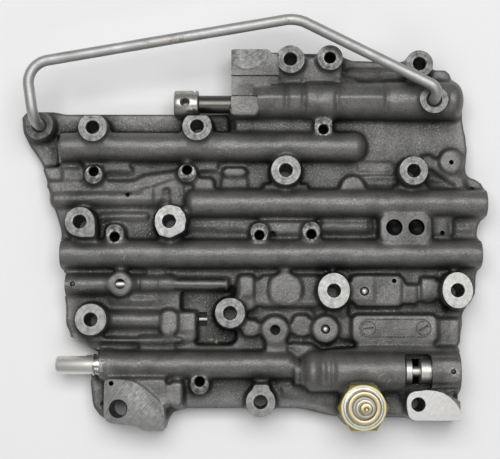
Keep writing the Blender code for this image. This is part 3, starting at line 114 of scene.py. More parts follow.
def joinRings(rings, closedLoop=False):
    # Points and faces of a skin over rings of equal length
    count = len(rings[0])
    points = [p for ring in rings for p in ring]
    faces = []
    pairs = list(zip(range(len(rings)), range(1, len(rings))))
    if closedLoop:
        pairs.append((len(rings) - 1, 0))
    for a, b in pairs:
        for i in range(count):
            j = (i + 1) % count
            faces.append((a * count + i, a * count + j, b * count + j, b * count + i))
    if not closedLoop:
        faces.append(tuple(range(count))[::-1])
        faces.append(tuple((len(rings) - 1) * count + i for i in range(count)))
    return points, faces


def lathe(profile, place, axis="X", segments=48):
    # A turned solid along X or Z, from its (along, radius) points
    rings = []
    for along, radius in profile:
        ring = []
        for i in range(segments):
            angle = 2 * math.pi * (i + 0.5) / segments
            a, b = radius * math.cos(angle), radius * math.sin(angle)
            offset = (along, a, b) if axis == "X" else (a, b, along)
            ring.append(tuple(p + o for p, o in zip(place, offset)))
        rings.append(ring)
    return joinRings(rings)


def post(x, y, low, high, radius, radiusY=None, flare=0.0, segments=48):
    # An upright round or oval block whose foot is wider by the flare
    rings = []
    for z, more in ((low, flare), (high, 0.0)):
        rings.append([
            (x + (radius + more) * math.cos(a), y + ((radiusY or radius) + more) * math.sin(a), z)
            for a in (2 * math.pi * (i + 0.5) / segments for i in range(segments))
        ])
    return joinRings(rings)


def block(xLow, xHigh, yLow, yHigh, low, high, flare=0.0):
    # An upright box whose foot is wider by the flare
    rings = []
    for z, more in ((low, flare), (high, 0.0)):
        left, right, near, far = xLow - more, xHigh + more, yLow - more, yHigh + more
        rings.append([(left, near, z), (right, near, z), (right, far, z), (left, far, z)])
    return joinRings(rings)


def slab(corners, low, high, flare=0.0):
    # An upright block over any outline
    midX = sum(c[0] for c in corners) / len(corners)
    midY = sum(c[1] for c in corners) / len(corners)
    foot = []
    for x, y in corners:
        away = math.hypot(x - midX, y - midY) or 1.0
        foot.append((x + flare * (x - midX) / away, y + flare * (y - midY) / away, low))
    return joinRings([foot, [(x, y, high) for x, y in corners]])


def wall(y, z, sections, foot, lean, steps=24):
    # A cast wall with a round crown along X, from (x, crown radius) sections
    rings = []
    for x, radius in sections:
        ring = [(x, y + radius + lean, foot)]
        ring += [
            (x, y + radius * math.cos(math.pi * i / steps), z + radius * math.sin(math.pi * i / steps))
            for i in range(steps + 1)
        ]
        ring.append((x, y - radius - lean, foot))
        rings.append(ring)
    return joinRings(rings)


def domeEnd(x, radius, side, reach, least=0.12):
    # Sections that round a wall off at x, on its left (-1) or right (1) side
    made = []
    for degrees in range(0, 90, 8):
        turn = math.radians(degrees)
        made.append((x - side * reach * (1 - math.sin(turn)), radius * max(math.cos(turn), least)))
    return made if side > 0 else made[::-1]


def strip(route, width, low, high, flare=0.0):
    # A bar of even width that follows a route in the plane
    half = width / 2
    left, right = [], []
    for i, (x, y) in enumerate(route):
        before, after = route[max(i - 1, 0)], route[min(i + 1, len(route) - 1)]
        angle = math.atan2(after[1] - before[1], after[0] - before[0]) + math.pi / 2
        left.append((x + half * math.cos(angle), y + half * math.sin(angle)))
        right.append((x - half * math.cos(angle), y - half * math.sin(angle)))
    return slab(right + left[::-1], low, high, flare)


def rectangle(xLow, xHigh, yLow, yHigh):
    return (xLow, yLow), (xHigh, yLow), (xHigh, yHigh), (xLow, yHigh)


# The iron casting. Its sizes, and those of all other pieces, are in millimetres in the frame's own place
casting = {
    # the skin: its grid, the fillet in its inner corners, the rounding of its edges, and what is kept of its faces
    "voxel": 0.62,
    "closing": 1.7,
    "edge": 0.7,
    "smoothing": 9,
    "kept": 0.17,
    # how far the cast shapes pass the faces that are cut later
    "below": 1.5,
    "above": 1.0,
    # where the laid-over shapes start, how high the webs stand, and how much wider each kind is at its foot
    "root": 3.0,
    "webTop": 12.0,
    "draft": {"wall": 0.7, "boss": 0.9, "small": 0.8, "disc": 1.0, "lump": 1.6},
    # heights of the bolt bosses, the milled pads and the small bosses
    "faceTop": 28.0,
    "padTop": 25.0,
    "smallTop": 21.5,
    # every cutter ends here above the casting, and here below it
    "cutTop": 40.0,
    "cutFoot": -3.0,
    # y, axis height, crown radius, from, to, then how far each end rounds off (0 is a machined mouth)
    "walls": {
        "shift": (47.2, 16.0, 8.5, -111.2, 68.5, 0, 7.0),
        "second": (13.7, 16.0, 8.0, -38.5, 138.4, 5.5, 0),
        "third": (-16.1, 16.0, 8.0, -110.4, 134.8, 0, 0),
        "collar": (-80.6, 16.0, 8.4, -86.8, -80.9, 0, 0),
        "plunger": (-80.6, 16.0, 7.75, -86.8, 28.5, 0, 7.5),
        "window": (-84.2, 17.0, 12.0, 29.0, 120.4, 7.0, 0),
        "slim": (-33.8, 14.0, 5.9, -107.6, -68.0, 0, 3.0),
        "slimTail": (-33.2, 13.4, 5.1, -74.0, -42.5, 3.0, 4.0),
        "manualLeft": (74.7, 17.0, 11.0, -11.0, 34.0, 0, 1.0),
        "manualCollar": (74.7, 17.0, 11.8, 32.2, 50.8, 0.7, 0.7),
        "manualMid": (74.7, 17.0, 11.0, 49.0, 81.0, 1.0, 1.0),
        "manualRight": (74.7, 17.0, 11.4, 79.8, 126.2, 0.5, 6.5),
        "leftOil": (16.8, 12.0, 5.6, -118.5, -47.0, 4.0, 5.6),
        "lowOil": (-54.4, 13.0, 5.4, -86.0, -42.3, 4.0, 4.0),
        "lowStrip": (-43.2, 12.5, 2.6, -82.8, -55.4, 2.6, 2.6),
        "midOil": (0.2, 12.5, 4.6, 40.0, 73.1, 4.0, 4.6),
        "upperStrip": (33.0, 13.0, 2.6, -87.4, -67.8, 2.6, 2.6),
        "leftMid": (6.2, 12.5, 3.0, -89.0, -58.7, 3.0, 3.0),
        "centreStrip": (0.4, 12.5, 2.8, -38.0, 1.0, 2.8, 2.8),
        "rightStrip": (-1.0, 11.5, 3.2, 104.0, 130.5, 3.2, 3.2),
    },
    # x, y, half widths, brightness of the milled face, partly its finish and partly a painted reflection
    "bosses": {
        "upperLeft": (-91.5, 56.9, 8.4, 8.4, 0.20),
        "upperCentre": (-30.8, 57.5, 8.6, 8.4, 0.18),
        "headBlock": (23.7, 97.3, 8.4, 8.4, 0.12),
        "headRight": (99.1, 94.6, 8.1, 8.1, 0.13),
        "rowTwoCentre": (20.8, 31.7, 8.7, 8.7, 0.24),
        "rowTwoRight": (94.9, 31.4, 8.4, 8.4, 0.20),
        "leftShoulder": (-98.2, 1.7, 8.6, 8.6, 0.20),
        "rowThreeLeft": (-46.7, 2.0, 8.4, 9.4, 0.42),
        "lowerLeft": (-91.1, -54.6, 9.1, 9.1, 0.36),
        "centre": (-11.4, -50.9, 8.7, 8.7, 0.24),
        "lowerCentre": (48.1, -38.1, 9.2, 10.3, 0.50),
        "lowerRight": (119.0, -37.9, 8.9, 10.4, 0.67),
        "bottom": (6.0, -101.3, 8.4, 8.4, 0.30),
        "blind": (46.8, 98.2, 7.6, 7.6, 0.12),
    },
    "lugs": {
        "shoulderLug": ((-98.2, 1.7), (-89.4, 1.7), (-89.4, -7.3), (-98.2, -7.3)),
        "rowThreeLug": ((-54.5, 2.6), (-53.6, 7.2), (-50.2, 10.1), (-45.6, 11.3), (-40.4, 10.1), (-36.5, 3.1),
                        (-39.1, -4.4), (-46.0, -7.9), (-52.4, -6.1), (-54.1, -2.1)),
        "bottomLug": ((1.2, -97.0), (3.8, -91.4), (9.6, -91.6), (11.6, -97.0)),
    },
    # how much wider a boss's cutter is, and the two bosses whose backs are cut flat
    "spotFace": 1.6,
    "flatBacked": ("upperLeft", "upperCentre"),
    "flatBack": (10.5, 6.0, 10.5),
    "blindHole": (3.2, 15.0, 1.8),
    "holeRadius": 3.6,
    "cornerHole": (95.5, -102.7),
    "dowelHole": (-75.1, -105.2, 4.8),
    # hole x, y, which way its boss is shifted, half width of the flank behind it
    "smallBosses": {
        "a": (-91.4, 32.0, -1, 0.0), "b": (-36.8, 32.9, -1, 0.0), "c": (-78.7, -6.4, 1, 8.2),
        "d": (5.5, -5.5, 1, 0.0), "e": (35.7, -4.9, 1, 6.6), "f": (43.1, 56.9, 1, 7.2),
        "g": (-28.9, -89.9, -1, 6.8),
    },
    "smallRadius": 5.5,
    "smallShift": 2.0,
    # the tip of the flank behind a small boss: half width, reach, and how much lower it lies
    "flankTip": (2.6, 5.0, 1.6),
    "tapRadius": 2.7,
    "tapFoot": 10.5,
    # round cast discs: x, y, radius, top
    "discs": {
        "teardrop": (14.5, -60.4, 8.0, 20.5), "ball": (43.6, -60.0, 7.8, 21.0), "half": (60.3, 22.3, 7.3, 19.5),
        "centreDisc": (20.3, -36.7, 9.8, 18.5), "vent": (118.5, 38.5, 7.0, 19.0),
        "gauge": (-75.4, -33.8, 7.3, 20.5),
    },
    # x from, x to, y from, y to, top: lumps too fine for the solid part
    "lumps": (
        (-16.5, -1.8, 23.6, 27.8, 15.6), (-32.4, -19.4, 33.6, 36.5, 16.2), (8.5, 33.5, 19.5, 24.5, 19.0),
        (86.6, 104.0, 19.9, 24.0, 19.0), (-46.0, -36.0, 13.0, 25.0, 17.0), (-110.0, -101.0, 20.0, 34.0, 15.2),
        (58.0, 86.0, 24.0, 30.0, 15.4), (-20.0, 4.0, -2.0, 2.5, 15.0), (-60.0, -50.0, -33.0, -24.5, 15.6),
        (38.0, 52.0, -63.0, -48.5, 15.4), (-66.0, -46.0, -92.0, -88.5, 15.5), (64.0, 84.0, 33.0, 38.0, 15.0),
        (-8.0, 6.0, -46.0, -34.0, 17.0), (26.0, 36.0, -78.0, -70.0, 19.0), (109.0, 122.0, -67.5, -54.0, 16.6),
        (-104.0, -88.0, -71.0, -62.0, 15.4), (-64.0, -44.0, -70.5, -64.0, 15.6), (56.0, 76.0, 86.0, 92.0, 17.6),
        (11.0, 53.0, 87.0, 99.0, 23.8), (2.0, 16.6, 86.0, 101.0, 25.4), (3.2, 21.0, 83.2, 86.2, 22.6),
        (2.0, 38.0, 56.0, 64.0, 17.5), (-8.6, -0.4, 56.8, 63.4, 17.0), (87.0, 96.0, -100.5, -92.0, 20.5),
        (78.0, 88.0, -109.0, -95.0, 18.0), (-46.4, -38.6, -104.0, -94.5, 20.0), (-41.0, -31.8, -61.0, -50.4, 16.6),
        (12.0, 15.5, -44.0, -30.0, 16.5), (-5.6, 2.0, -40.5, -30.5, 18.8), (7.0, 38.5, -45.6, -43.2, 17.4),
        (45.0, 56.5, -52.0, -46.0, 17.2), (59.5, 71.5, -43.8, -29.4, 19.6), (99.8, 108.0, -42.0, -30.4, 18.6),
        (106.0, 118.5, -4.4, 3.4, 17.6), (85.0, 92.0, 18.8, 23.6, 18.6), (14.6, 25.6, 19.4, 22.6, 18.8),
        (96.0, 122.0, 12.0, 26.0, 15.0), (-36.0, -6.0, 1.6, 4.8, 14.6),
    ),
    # low ribs and edges: width, top, route
    "ribs": (
        (2.8, 20.8, ((43.5, -73.4), (52.0, -72.9), (62.0, -72.2), (76.0, -72.0), (119.0, -72.2))),
        (4.0, 15.2, ((19.0, -95.5), (27.2, -94.8), (33.0, -93.0), (39.5, -92.8), (45.9, -96.8), (50.6, -102.0))),
        (1.8, 17.2, ((-97.2, 37.4), (-95.4, 32.6))),
        (2.2, 16.8, ((-86.8, 34.2), (-83.0, 35.4), (-76.0, 34.6), (-70.0, 33.8))),
        (3.0, 21.6, ((22.0, 84.6), (30.0, 84.4), (36.0, 86.4), (46.0, 87.2), (56.0, 85.6), (62.0, 85.4))),
        (2.0, 17.4, ((-92.6, -66.0), (-60.0, -66.6), (-40.0, -66.4))),
        (2.2, 17.0, ((-63.0, 20.6), (-56.0, 22.2), (-47.0, 25.6), (-41.0, 26.4))),
    ),
    # soft hollows pressed into the skin, and swells where the depth is below 0: x, y, half widths, depth
    "dents": (
        (21.3, 75.0, 1.1, 11.0, 1.3), (31.6, 75.0, 1.2, 11.5, 1.3), (50.7, 75.0, 1.2, 11.5, 1.3),
        (79.8, 75.0, 1.1, 11.5, 1.1), (10.6, 75.0, 0.6, 10.0, 0.35), (40.6, 72.0, 0.7, 10.0, 0.45),
        (43.4, 70.0, 0.5, 8.0, 0.3), (116.5, 74.0, 0.7, 11.0, 0.6), (-4.0, 78.6, 6.2, 3.6, 1.5),
        (27.0, -81.0, 2.4, 9.5, 0.5), (41.8, -83.0, 2.2, 11.5, 1.9), (47.4, -83.0, 1.5, 11.0, 1.5),
        (34.4, -84.0, 3.4, 9.0, -0.5), (55.0, -84.0, 3.0, 6.5, -0.3), (112.0, -84.4, 7.0, 5.6, 0.8),
        (112.0, -76.4, 8.0, 1.0, 0.7), (112.0, -91.6, 8.0, 1.0, 0.7), (-58.0, 16.8, 0.8, 6.5, 0.7),
        (-51.0, 13.0, 1.0, 6.0, 0.6), (-65.0, -33.8, 0.9, 5.5, 0.9), (-54.5, -33.8, 0.9, 5.5, 0.8),
        (-53.0, -54.6, 1.2, 6.0, 0.9), (10.4, -36.0, 1.0, 7.0, 0.7), (3.0, -36.0, 0.9, 8.0, 0.8),
        (20.6, -36.7, 9.0, 8.0, -0.3), (89.0, -39.0, 0.9, 7.0, 0.9), (98.4, -39.0, 0.9, 7.0, 1.1),
        (-40.0, 22.0, 0.9, 6.0, 0.8), (42.0, 74.0, 3.6, 6.0, -0.3), (26.4, 74.0, 3.4, 6.0, -0.3),
        (-100.0, 16.8, 6.0, 3.0, -0.3), (70.0, 0.5, 0.9, 4.0, 0.7), (104.5, -1.0, 0.9, 4.5, 0.8),
        (117.0, -1.0, 0.8, 4.0, 0.7), (75.0, 26.5, 9.0, 2.4, 0.8), (96.0, 50.0, 24.0, 5.0, -0.3),
    ),
    # the mould's slight waviness: how many waves, their height, the shortest, and how much longer each next one is
    "waves": {"count": 16, "height": 0.045, "shortest": 7.0, "longer": 1.6},
    # thickens the pocket's thin floor over the oil track below it
    "pocketFloor": {
        "width": 8.0, "low": 5.2, "top": 8.4,
        "route": ((-33.0, -33.4), (-27.0, -38.0), (-27.0, -64.0), (-36.0, -69.7)),
    },
    # y of the backs that are cut flat, x of the upper block's end face
    "headFlat": 63.7,
    "headBlockX": -11.0,
    # x, y, radius, top, brightness, then the socket of the tube and the oil way under it
    "tubeBosses": {"left": (-124.0, 59.5, 8.1, 20.0, 0.05), "right": (107.0, 72.8, 8.1, 30.0, 0.20)},
    "tubeSocket": {"depth": 6.3, "radius": 3.48, "chamfer": 1.3, "oilWay": 2.18, "oilFoot": 6.0},
    # the switch's seat: x, y, radius, top, then the radius of its spot face and of its hole
    "switchSeat": (64.0, -104.4, 13.0, 25.2),
    "switchSpotFace": 15.46,
    "switchHole": 6.3,
    # mouth x, y, axis height, radius, which way in
    "bores": {
        "shift": (-111.2, 47.2, 16.0, 4.9, 1), "accumulator": (138.4, 13.7, 16.0, 4.9, -1),
        "regulator": (-110.4, -16.1, 16.0, 4.9, 1), "relay": (134.8, -16.1, 16.0, 4.9, -1),
        "governor": (-107.6, -33.8, 14.0, 3.4, 1), "timing": (120.4, -84.2, 17.0, 7.6, -1),
    },
    "boreDepth": 92.0,
    "mouthFace": 3.6,
    # mouth x, y, axis height, radius, depth
    "selectorBore": (-11.0, 72.5, 17.0, 8.0, 100.8),
    "sleeveBore": (-86.8, -80.6, 16.0, 6.9, 20.3),
    # from, to, radius, behind the sleeve's bore
    "throttleBore": (-75.0, 10.0, 4.9),
    "collarFace": (-95.0, -86.8, -89.6, -71.6, 9.2),
    # how far in each cross pin's hole lies, its radius, and how far it passes the bore
    "pinHole": (4.6, 1.5, 1.8),
    "sleevePinHole": (-65.0, -80.6, 12.2),
    # what fills the bores, wells and openings of the solid part until they are cut again
    "boreFill": (95.0, 0.5),
    "filledLines": (
        (((-12.0, 8.5), (105.0, 8.5)), 72.5, 17.0),
        (((-87.8, 7.2), (-65.5, 7.2), (-65.5, 5.4), (20.0, 5.4)), -80.6, 16.0),
    ),
    "filledBoxes": (
        (86.7, 105.7, -94.0, -75.0, 6.0, 22.0), (-26.0, -12.0, 57.0, 66.5, 3.0, 9.0),
        (-30.5, -24.5, -58.5, -49.0, 3.0, 8.5),
    ),
    "vents": (
        (-114.4, 37.7), (-71.8, 18.7), (-79.2, -90.9), (-85.4, -103.2), (118.2, 37.7), (112.4, -3.9), (13.4, -4.2),
        (83.8, -32.0), (113.7, -48.3), (130.7, 22.6),
    ),
    "vent": {"foot": 11.0, "radius": 1.4},
    "twins": ((83.8, -1.1), (96.7, -1.1)),
    "twin": {"foot": 16.0, "top": 22.6, "radius": 4.6, "chamfer": 0.3, "tip": 2.2, "fill": (22.5, 5.0)},
    "wells": ((43.6, -60.0), (66.4, -38.0)),
    "well": {"foot": 15.0, "top": 21.0, "radius": 2.7, "fill": (19.0, 3.3)},
    # the opening over the timing valve: its sides, floor and corner radius
    "window": {"sides": (88.3, 103.9, -94.7, -74.2), "floor": 15.0, "corner": 2.2},
    "rodSlot": {"along": (-29.9, -25.2), "across": (-57.9, -49.7), "floor": 6.0, "bar": (-53.8, 7.2, 1.3)},
    # a mark: its ring's radius and half width, its slot's half length and half width, and how much deeper that is
    "longPad": {"top": 20.0, "depth": 1.2, "ends": (68.4, 99.2), "y": -59.6, "radius": 5.1, "groove": 0.48,
                "mark": (4.0, 0.36, 3.1, 1.3, 0.5), "marks": ((68.4, -59.6, 8.0), (100.2, -59.5, 28.0))},
    # milled pads, steps and end faces: outline, and the height above which all is cut away
    "milled": {
        "lowerLeftPad": (((-83.3, -87.0), (-74.2, -87.0), (-62.7, -91.0), (-57.0, -94.8), (-52.4, -99.2),
                          (-48.6, -104.6), (-45.0, -110.4), (-45.0, -121.0), (-58.0, -121.0), (-85.5, -116.0),
                          (-85.5, -90.0)), 25.0),
        "lowerRightPad": (((86.6, -106.0), (87.4, -97.6), (89.8, -94.2), (96.5, -93.6), (102.7, -93.4),
                           (106.5, -94.8), (110.0, -96.4), (113.4, -98.6), (117.0, -102.2), (119.6, -106.6),
                           (121.0, -114.5), (88.0, -114.5)), 28.0),
        "lowerRightStep": (((104.0, -93.4), (106.5, -94.8), (110.0, -96.4), (113.4, -98.6), (117.0, -102.2),
                            (119.6, -106.6), (119.9, -114.5), (128.0, -114.5), (128.0, -94.6)), 22.4),
        "lowerRightEnd": (rectangle(120.3, 128.0, -114.5, -97.0), -3.0),
        "headArc": (((-14.0, 94.0), (-11.0, 94.6), (-2.9, 92.1), (2.9, 92.7), (8.2, 96.3), (11.8, 100.5),
                     (13.0, 112.0), (-14.0, 112.0)), 25.0),
        "headStep": (((-16.0, 84.2), (16.8, 84.2), (16.8, 100.0), (14.5, 103.0), (13.4, 112.0), (13.0, 112.0),
                      (11.8, 100.5), (8.2, 96.3), (2.9, 92.7), (-2.9, 92.1), (-11.0, 94.6), (-16.0, 94.4)), 24.55),
        "headRow": (rectangle(-16.0, 16.7, 83.2, 88.7), 22.6),
        "headNotch": (rectangle(-16.0, 2.1, 75.6, 83.2), 23.8),
        "headCollar": (((-16.0, 75.6), (4.4, 75.6), (4.9, 67.4), (0.8, 63.4), (-16.0, 62.5)), 26.3),
        "headMouth": (rectangle(-16.0, -11.0, 68.6, 112.0), -3.0),
    },
    # the lower left corner, cut off through the whole height
    "cutCorner": (
        (-114.0, -58.7), (-108.1, -62.0), (-92.7, -70.7), (-89.0, -72.8), (-89.0, -74.6), (-114.0, -76.0),
    ),
    # oil ports up into the bores: places, then half widths and heights
    "ports": (
        (-60.0, 47.2), (-25.0, 47.2), (8.0, 72.5), (38.0, 72.5), (78.0, 72.5), (119.0, 13.7), (62.0, 13.7),
        (-62.0, -16.1), (80.0, -16.1), (6.0, -80.6), (-46.0, -80.6), (106.0, -84.2),
    ),
    "port": (2.25, 3.5, 6.0, 16.0),
    # the middle that each lug's cutter turned about, and how bright the face is drawn, partly its finish and partly
    # a painted reflection
    "lugTurning": {
        "shoulderLug": (-98.2, 1.7, 0.20), "rowThreeLug": (-46.7, 2.0, 0.50), "bottomLug": (6.0, -101.3, 0.30),
    },
    # the same for the pads: which height, from and to along x and y, then the middle and the brightness
    "padTurning": {
        "lowerRight": ("faceTop", (86, 200), (-200, -92), (150.0, -135.0, 0.82)),
        "lowerLeft": ("padTop", (-200, -40), (-200, -86), (-20.0, -140.0, 0.13)),
        "head": ("padTop", (-200, 14), (90, 200), (-8.0, 118.0, 0.16)),
    },
    # how bright the other milled faces are, partly their finish and partly a painted reflection
    "tones": {"smallBoss": 0.06, "switchSeat": 0.0, "mouth": 0.15, "collar": 0.38, "flatBack": 0.15, "bar": 0.9,
              "rest": 0.4},
}


def inMetres(skin):
    points, faces = skin
    return [tuple(c / 1000 for c in p) for p in points], faces


def roughShapes():
    # The cast shapes laid over the solid part: walls, posts and lumps, and what fills each hole that is cut later
    spec = casting
    root, draft, above = spec["root"], spec["draft"], spec["above"]
    over, under = spec["faceTop"] + above, -spec["below"]
    made = []
    for y, z, radius, start, end, domeStart, domeStop in spec["walls"].values():
        first = domeEnd(start, radius, -1, domeStart) if domeStart else [(start - above, radius)]
        last = domeEnd(end, radius, 1, domeStop) if domeStop else [(end + above, radius)]
        made.append(wall(y, z, first + last, root, draft["wall"]))
    for x, y, radiusX, radiusY, _ in spec["bosses"].values():
        made.append(post(x, y, root, over, radiusX, radiusY, draft["boss"]))
        made.append(post(x, y, under, spec["webTop"], spec["holeRadius"] + 1.2))
    for corners in spec["lugs"].values():
        made.append(slab(corners, root, over, draft["boss"]))
    tipX, tipY, lower = spec["flankTip"]
    for x, y, side, flank in spec["smallBosses"].values():
        centreY = y + side * spec["smallShift"]
        made.append(post(x, centreY, root, spec["smallTop"] + 0.6, spec["smallRadius"], flare=draft["small"]))
        if flank:
            rootY = centreY - side * (spec["smallRadius"] + spec["smallShift"])
            farY = centreY + side * tipY
            corners = [(x - flank, rootY), (x + flank, rootY), (x + tipX, farY), (x - tipX, farY)]
            made.append(slab(corners, root, spec["smallTop"] - lower, draft["boss"]))
    for x, y, radius, top in spec["discs"].values():
        made.append(post(x, y, root, top, radius, flare=draft["disc"]))
    for *sides, top in spec["lumps"]:
        made.append(block(*sides, root, top, draft["lump"]))
    for width, top, route in spec["ribs"]:
        made.append(strip(route, width, root, top, draft["boss"]))
    floor = spec["pocketFloor"]
    made.append(strip(floor["route"], floor["width"], floor["low"], floor["top"]))
    for x, y, radius, top, _ in spec["tubeBosses"].values():
        made.append(post(x, y, under, top + above, radius, flare=draft["small"]))
    x, y, radius, top = spec["switchSeat"]
    made.append(post(x, y, under, top, radius, flare=draft["small"]))
    x, y, radius = spec["dowelHole"]
    made.append(post(x, y, under, spec["padTop"] + above, radius + 0.8))
    made.append(post(*spec["cornerHole"], under, over, spec["holeRadius"] + 0.8))
    depth, more = spec["boreFill"]
    for x, y, z, radius, into in spec["bores"].values():
        start, end = sorted((x - into * above, x + into * depth))
        made.append(lathe([(start, radius + more), (end, radius + more)], (0.0, y, z)))
    for profile, y, z in spec["filledLines"]:
        made.append(lathe(profile, (0.0, y, z)))
    for places, kind in ((spec["twins"], spec["twin"]), (spec["wells"], spec["well"])):
        for x, y in places:
            made.append(post(x, y, spec["webTop"], *kind["fill"]))
    for box in spec["filledBoxes"]:
        made.append(block(*box))
    return made


def solidPart():
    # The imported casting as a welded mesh, carried on a little past each face that is machined later
    spec = casting
    source = frame["nodes"]["valve_body_casting"]
    bm = bmesh.new()
    bm.from_mesh(source.data)
    bmesh.ops.remove_doubles(bm, verts=bm.verts, dist=2e-6)
    bmesh.ops.triangulate(bm, faces=bm.faces)
    points = np.array([v.co[:] for v in bm.verts]) * 1000
    faces = np.array([[v.index for v in f.verts] for f in bm.faces])
    bm.free()
    points[np.abs(points[:, 2]) < 0.02, 2] = -spec["below"]
    for x, y, _, radius, into in spec["bores"].values():
        mouth = (np.abs(points[:, 0] - x) < 0.05) & (np.abs(points[:, 1] - y) < radius + 4.6)
        points[mouth, 0] -= into * spec["above"]
    face = (np.abs(points[:, 0] - spec["headBlockX"]) < 0.05) & (points[:, 1] > 60)
    points[face, 0] -= spec["above"]
    for level in (spec["padTop"], spec["faceTop"]):
        points[np.abs(points[:, 2] - level) < 0.02, 2] += spec["above"]
    return points, faces


def castSurface():
    # One skin over all the cast shapes, with a fillet in every inner corner and its edges softened
    points, faces = solidPart()
    allPoints, allFaces, offset = [points], [faces], len(points)
    for shapePoints, shapeFaces in roughShapes():
        for face in shapeFaces:
            for i in range(1, len(face) - 1):
                allFaces.append(np.array([[face[0] + offset, face[i] + offset, face[i + 1] + offset]]))
        allPoints.append(np.array(shapePoints))
        offset += len(shapePoints)
    points, triangles = np.concatenate(allPoints), np.concatenate(allFaces)
    voxel, radius, edge = casting["voxel"], casting["closing"], casting["edge"]
    transform = openvdb.createLinearTransform(voxelSize=voxel)
    band = (radius + edge) / voxel + 2.0
    quads = np.zeros((0, 4), np.uint32)
    for level in (radius, -radius - edge, edge):
        grid = openvdb.FloatGrid.createLevelSetFromPolygons(
            points.astype(np.float32), triangles=triangles.astype(np.uint32), quads=quads.astype(np.uint32),
            transform=transform, halfWidth=band)
        points, triangles, quads = grid.convertToPolygons(isovalue=level, adaptivity=0.0)
    print("cast skin", len(points), len(triangles), len(quads))
    return points, triangles, quads


def pressDents(points):
    # Presses the soft hollows into the skin, and gives it the slight waviness of a sand mould
    x, y, z = points[:, 0], points[:, 1], points[:, 2]
    change = np.zeros(len(points))
    for dentX, dentY, wideX, wideY, depth in casting["dents"]:
        change -= depth * np.exp(-((x - dentX) / (1.2 * wideX)) ** 2 - ((y - dentY) / wideY) ** 4)
    waves = casting["waves"]
    for i in range(waves["count"]):
        turn, length = i * 2.4, waves["shortest"] + waves["longer"] * i
        change += waves["height"] * np.sin((x * math.cos(turn) + y * math.sin(turn)) * 2 * math.pi / length + i * i)
    made = points.copy()
    made[:, 2] += change * np.clip((z - 7.0) / 5.0, 0, 1)
    made[:, 1] = np.maximum(y, lowest[1] * 1000 + 0.1)
    return made


def softened(points, quads):
    # The skin as an object in metres, with its steps smoothed away and its triangles thinned out
    mesh = bpy.data.meshes.new("castSkin")
    mesh.from_pydata((points / 1000).tolist(), [], quads.tolist())
    made = bpy.data.objects.new("castSkin", mesh)
    bpy.context.scene.collection.objects.link(made)
    smooth = made.modifiers.new("smooth", "SMOOTH")
    smooth.factor = 0.5
    smooth.iterations = casting["smoothing"]
    thin = made.modifiers.new("thin", "DECIMATE")
    thin.ratio = casting["kept"]
    graph = bpy.context.evaluated_depsgraph_get()
    baked = bpy.data.meshes.new_from_object(made.evaluated_get(graph))
    made.modifiers.clear()
    made.data = baked
    bm = bmesh.new()
    bm.from_mesh(baked)
    if bm.calc_volume(signed=True) < 0:
        bmesh.ops.reverse_faces(bm, faces=bm.faces)
        bm.to_mesh(baked)
    bm.free()
    print("softened to", len(baked.polygons), "faces")
    return made


def roundedBox(xLow, xHigh, yLow, yHigh, low, high, radius, steps=6):
    corners = []
    for cx, cy, start in ((xHigh - radius, yHigh - radius, 0), (xLow + radius, yHigh - radius, 90),
                          (xLow + radius, yLow + radius, 180), (xHigh - radius, yLow + radius, 270)):
        for i in range(steps + 1):
            angle = math.radians(start + 90 * i / steps)
            corners.append((cx + radius * math.cos(angle), cy + radius * math.sin(angle)))
    return slab(corners, low, high)


def drilled(x, y, low, top, radius, chamfer=0.5, tip=0.0):
    # A drilled hole's cutter, chamfered at its mouth, with a drill's cone at its foot
    profile = [(low - tip, 0.05), (low, radius)] if tip else [(low, radius)]
    profile += [(top - chamfer, radius), (top, radius + chamfer), (top + 6.0, radius + chamfer)]
    return lathe(profile, (x, y, 0.0), "Z")


def boredLine(x, y, z, radius, into, depth, chamfer=0.4):
    profile = [(-2.0, radius + chamfer), (0.0, radius + chamfer), (chamfer, radius), (depth, radius)]
    if into < 0:
        profile = [(-along, r) for along, r in profile][::-1]
    return lathe(profile, (x, y, z))


def hoop(path, half, low, high):
    # A closed band of square section along a closed flat path, its width and height given
    rings = []
    count = len(path)
    for i, (x, y) in enumerate(path):
        before, after = path[i - 1], path[(i + 1) % count]
        length = math.hypot(after[0] - before[0], after[1] - before[1])
        acrossX, acrossY = (after[1] - before[1]) / length * half, (before[0] - after[0]) / length * half
        rings.append([(x - acrossX, y - acrossY, low), (x + acrossX, y + acrossY, low),
                      (x + acrossX, y + acrossY, high), (x - acrossX, y - acrossY, high)])
    return joinRings(rings, closedLoop=True)


def padMarks():
    # The groove round the long pad, and the two slotted round marks at its ends
    spec = casting["longPad"]
    low, high = spec["top"] - spec["depth"], spec["top"] + 2.0
    (left, right), y, radius = spec["ends"], spec["y"], spec["radius"]
    path = []
    for x, start in ((right, -90), (left, 90)):
        turns = [math.radians(start + 15 * i) for i in range(13)]
        path += [(x + radius * math.cos(a), y + radius * math.sin(a)) for a in turns]
    made = [hoop(path, spec["groove"], low, high)]
    ring, groove, slotReach, slotWidth, deeper = spec["mark"]
    for x, markY, slant in spec["marks"]:
        turns = [math.pi * i / 18 for i in range(36)]
        circle = [(x + ring * math.cos(a), markY + ring * math.sin(a)) for a in turns]
        made.append(hoop(circle, groove, low, high))
        dx, dy = slotReach * math.cos(math.radians(slant)), slotReach * math.sin(math.radians(slant))
        made.append(strip(((x - dx, markY - dy), (x + dx, markY + dy)), slotWidth, low - deeper, high))
    return made


def rodSlot():
    # The slot in the pocket's floor, cut round the bar that crosses it
    spec, over = casting["rodSlot"], casting["cutTop"]
    y, z, radius = spec["bar"]
    low, high = spec["across"]
    foot = spec["floor"]
    bar = [(y - radius * math.cos(math.pi * i / 12), z + radius * math.sin(math.pi * i / 12)) for i in range(13)]
    outline = [(low, over), (low, foot), (y - radius, foot), *bar, (y + radius, foot), (high, foot), (high, over)]
    return joinRings([[(x, across, up) for across, up in outline] for x in spec["along"]])


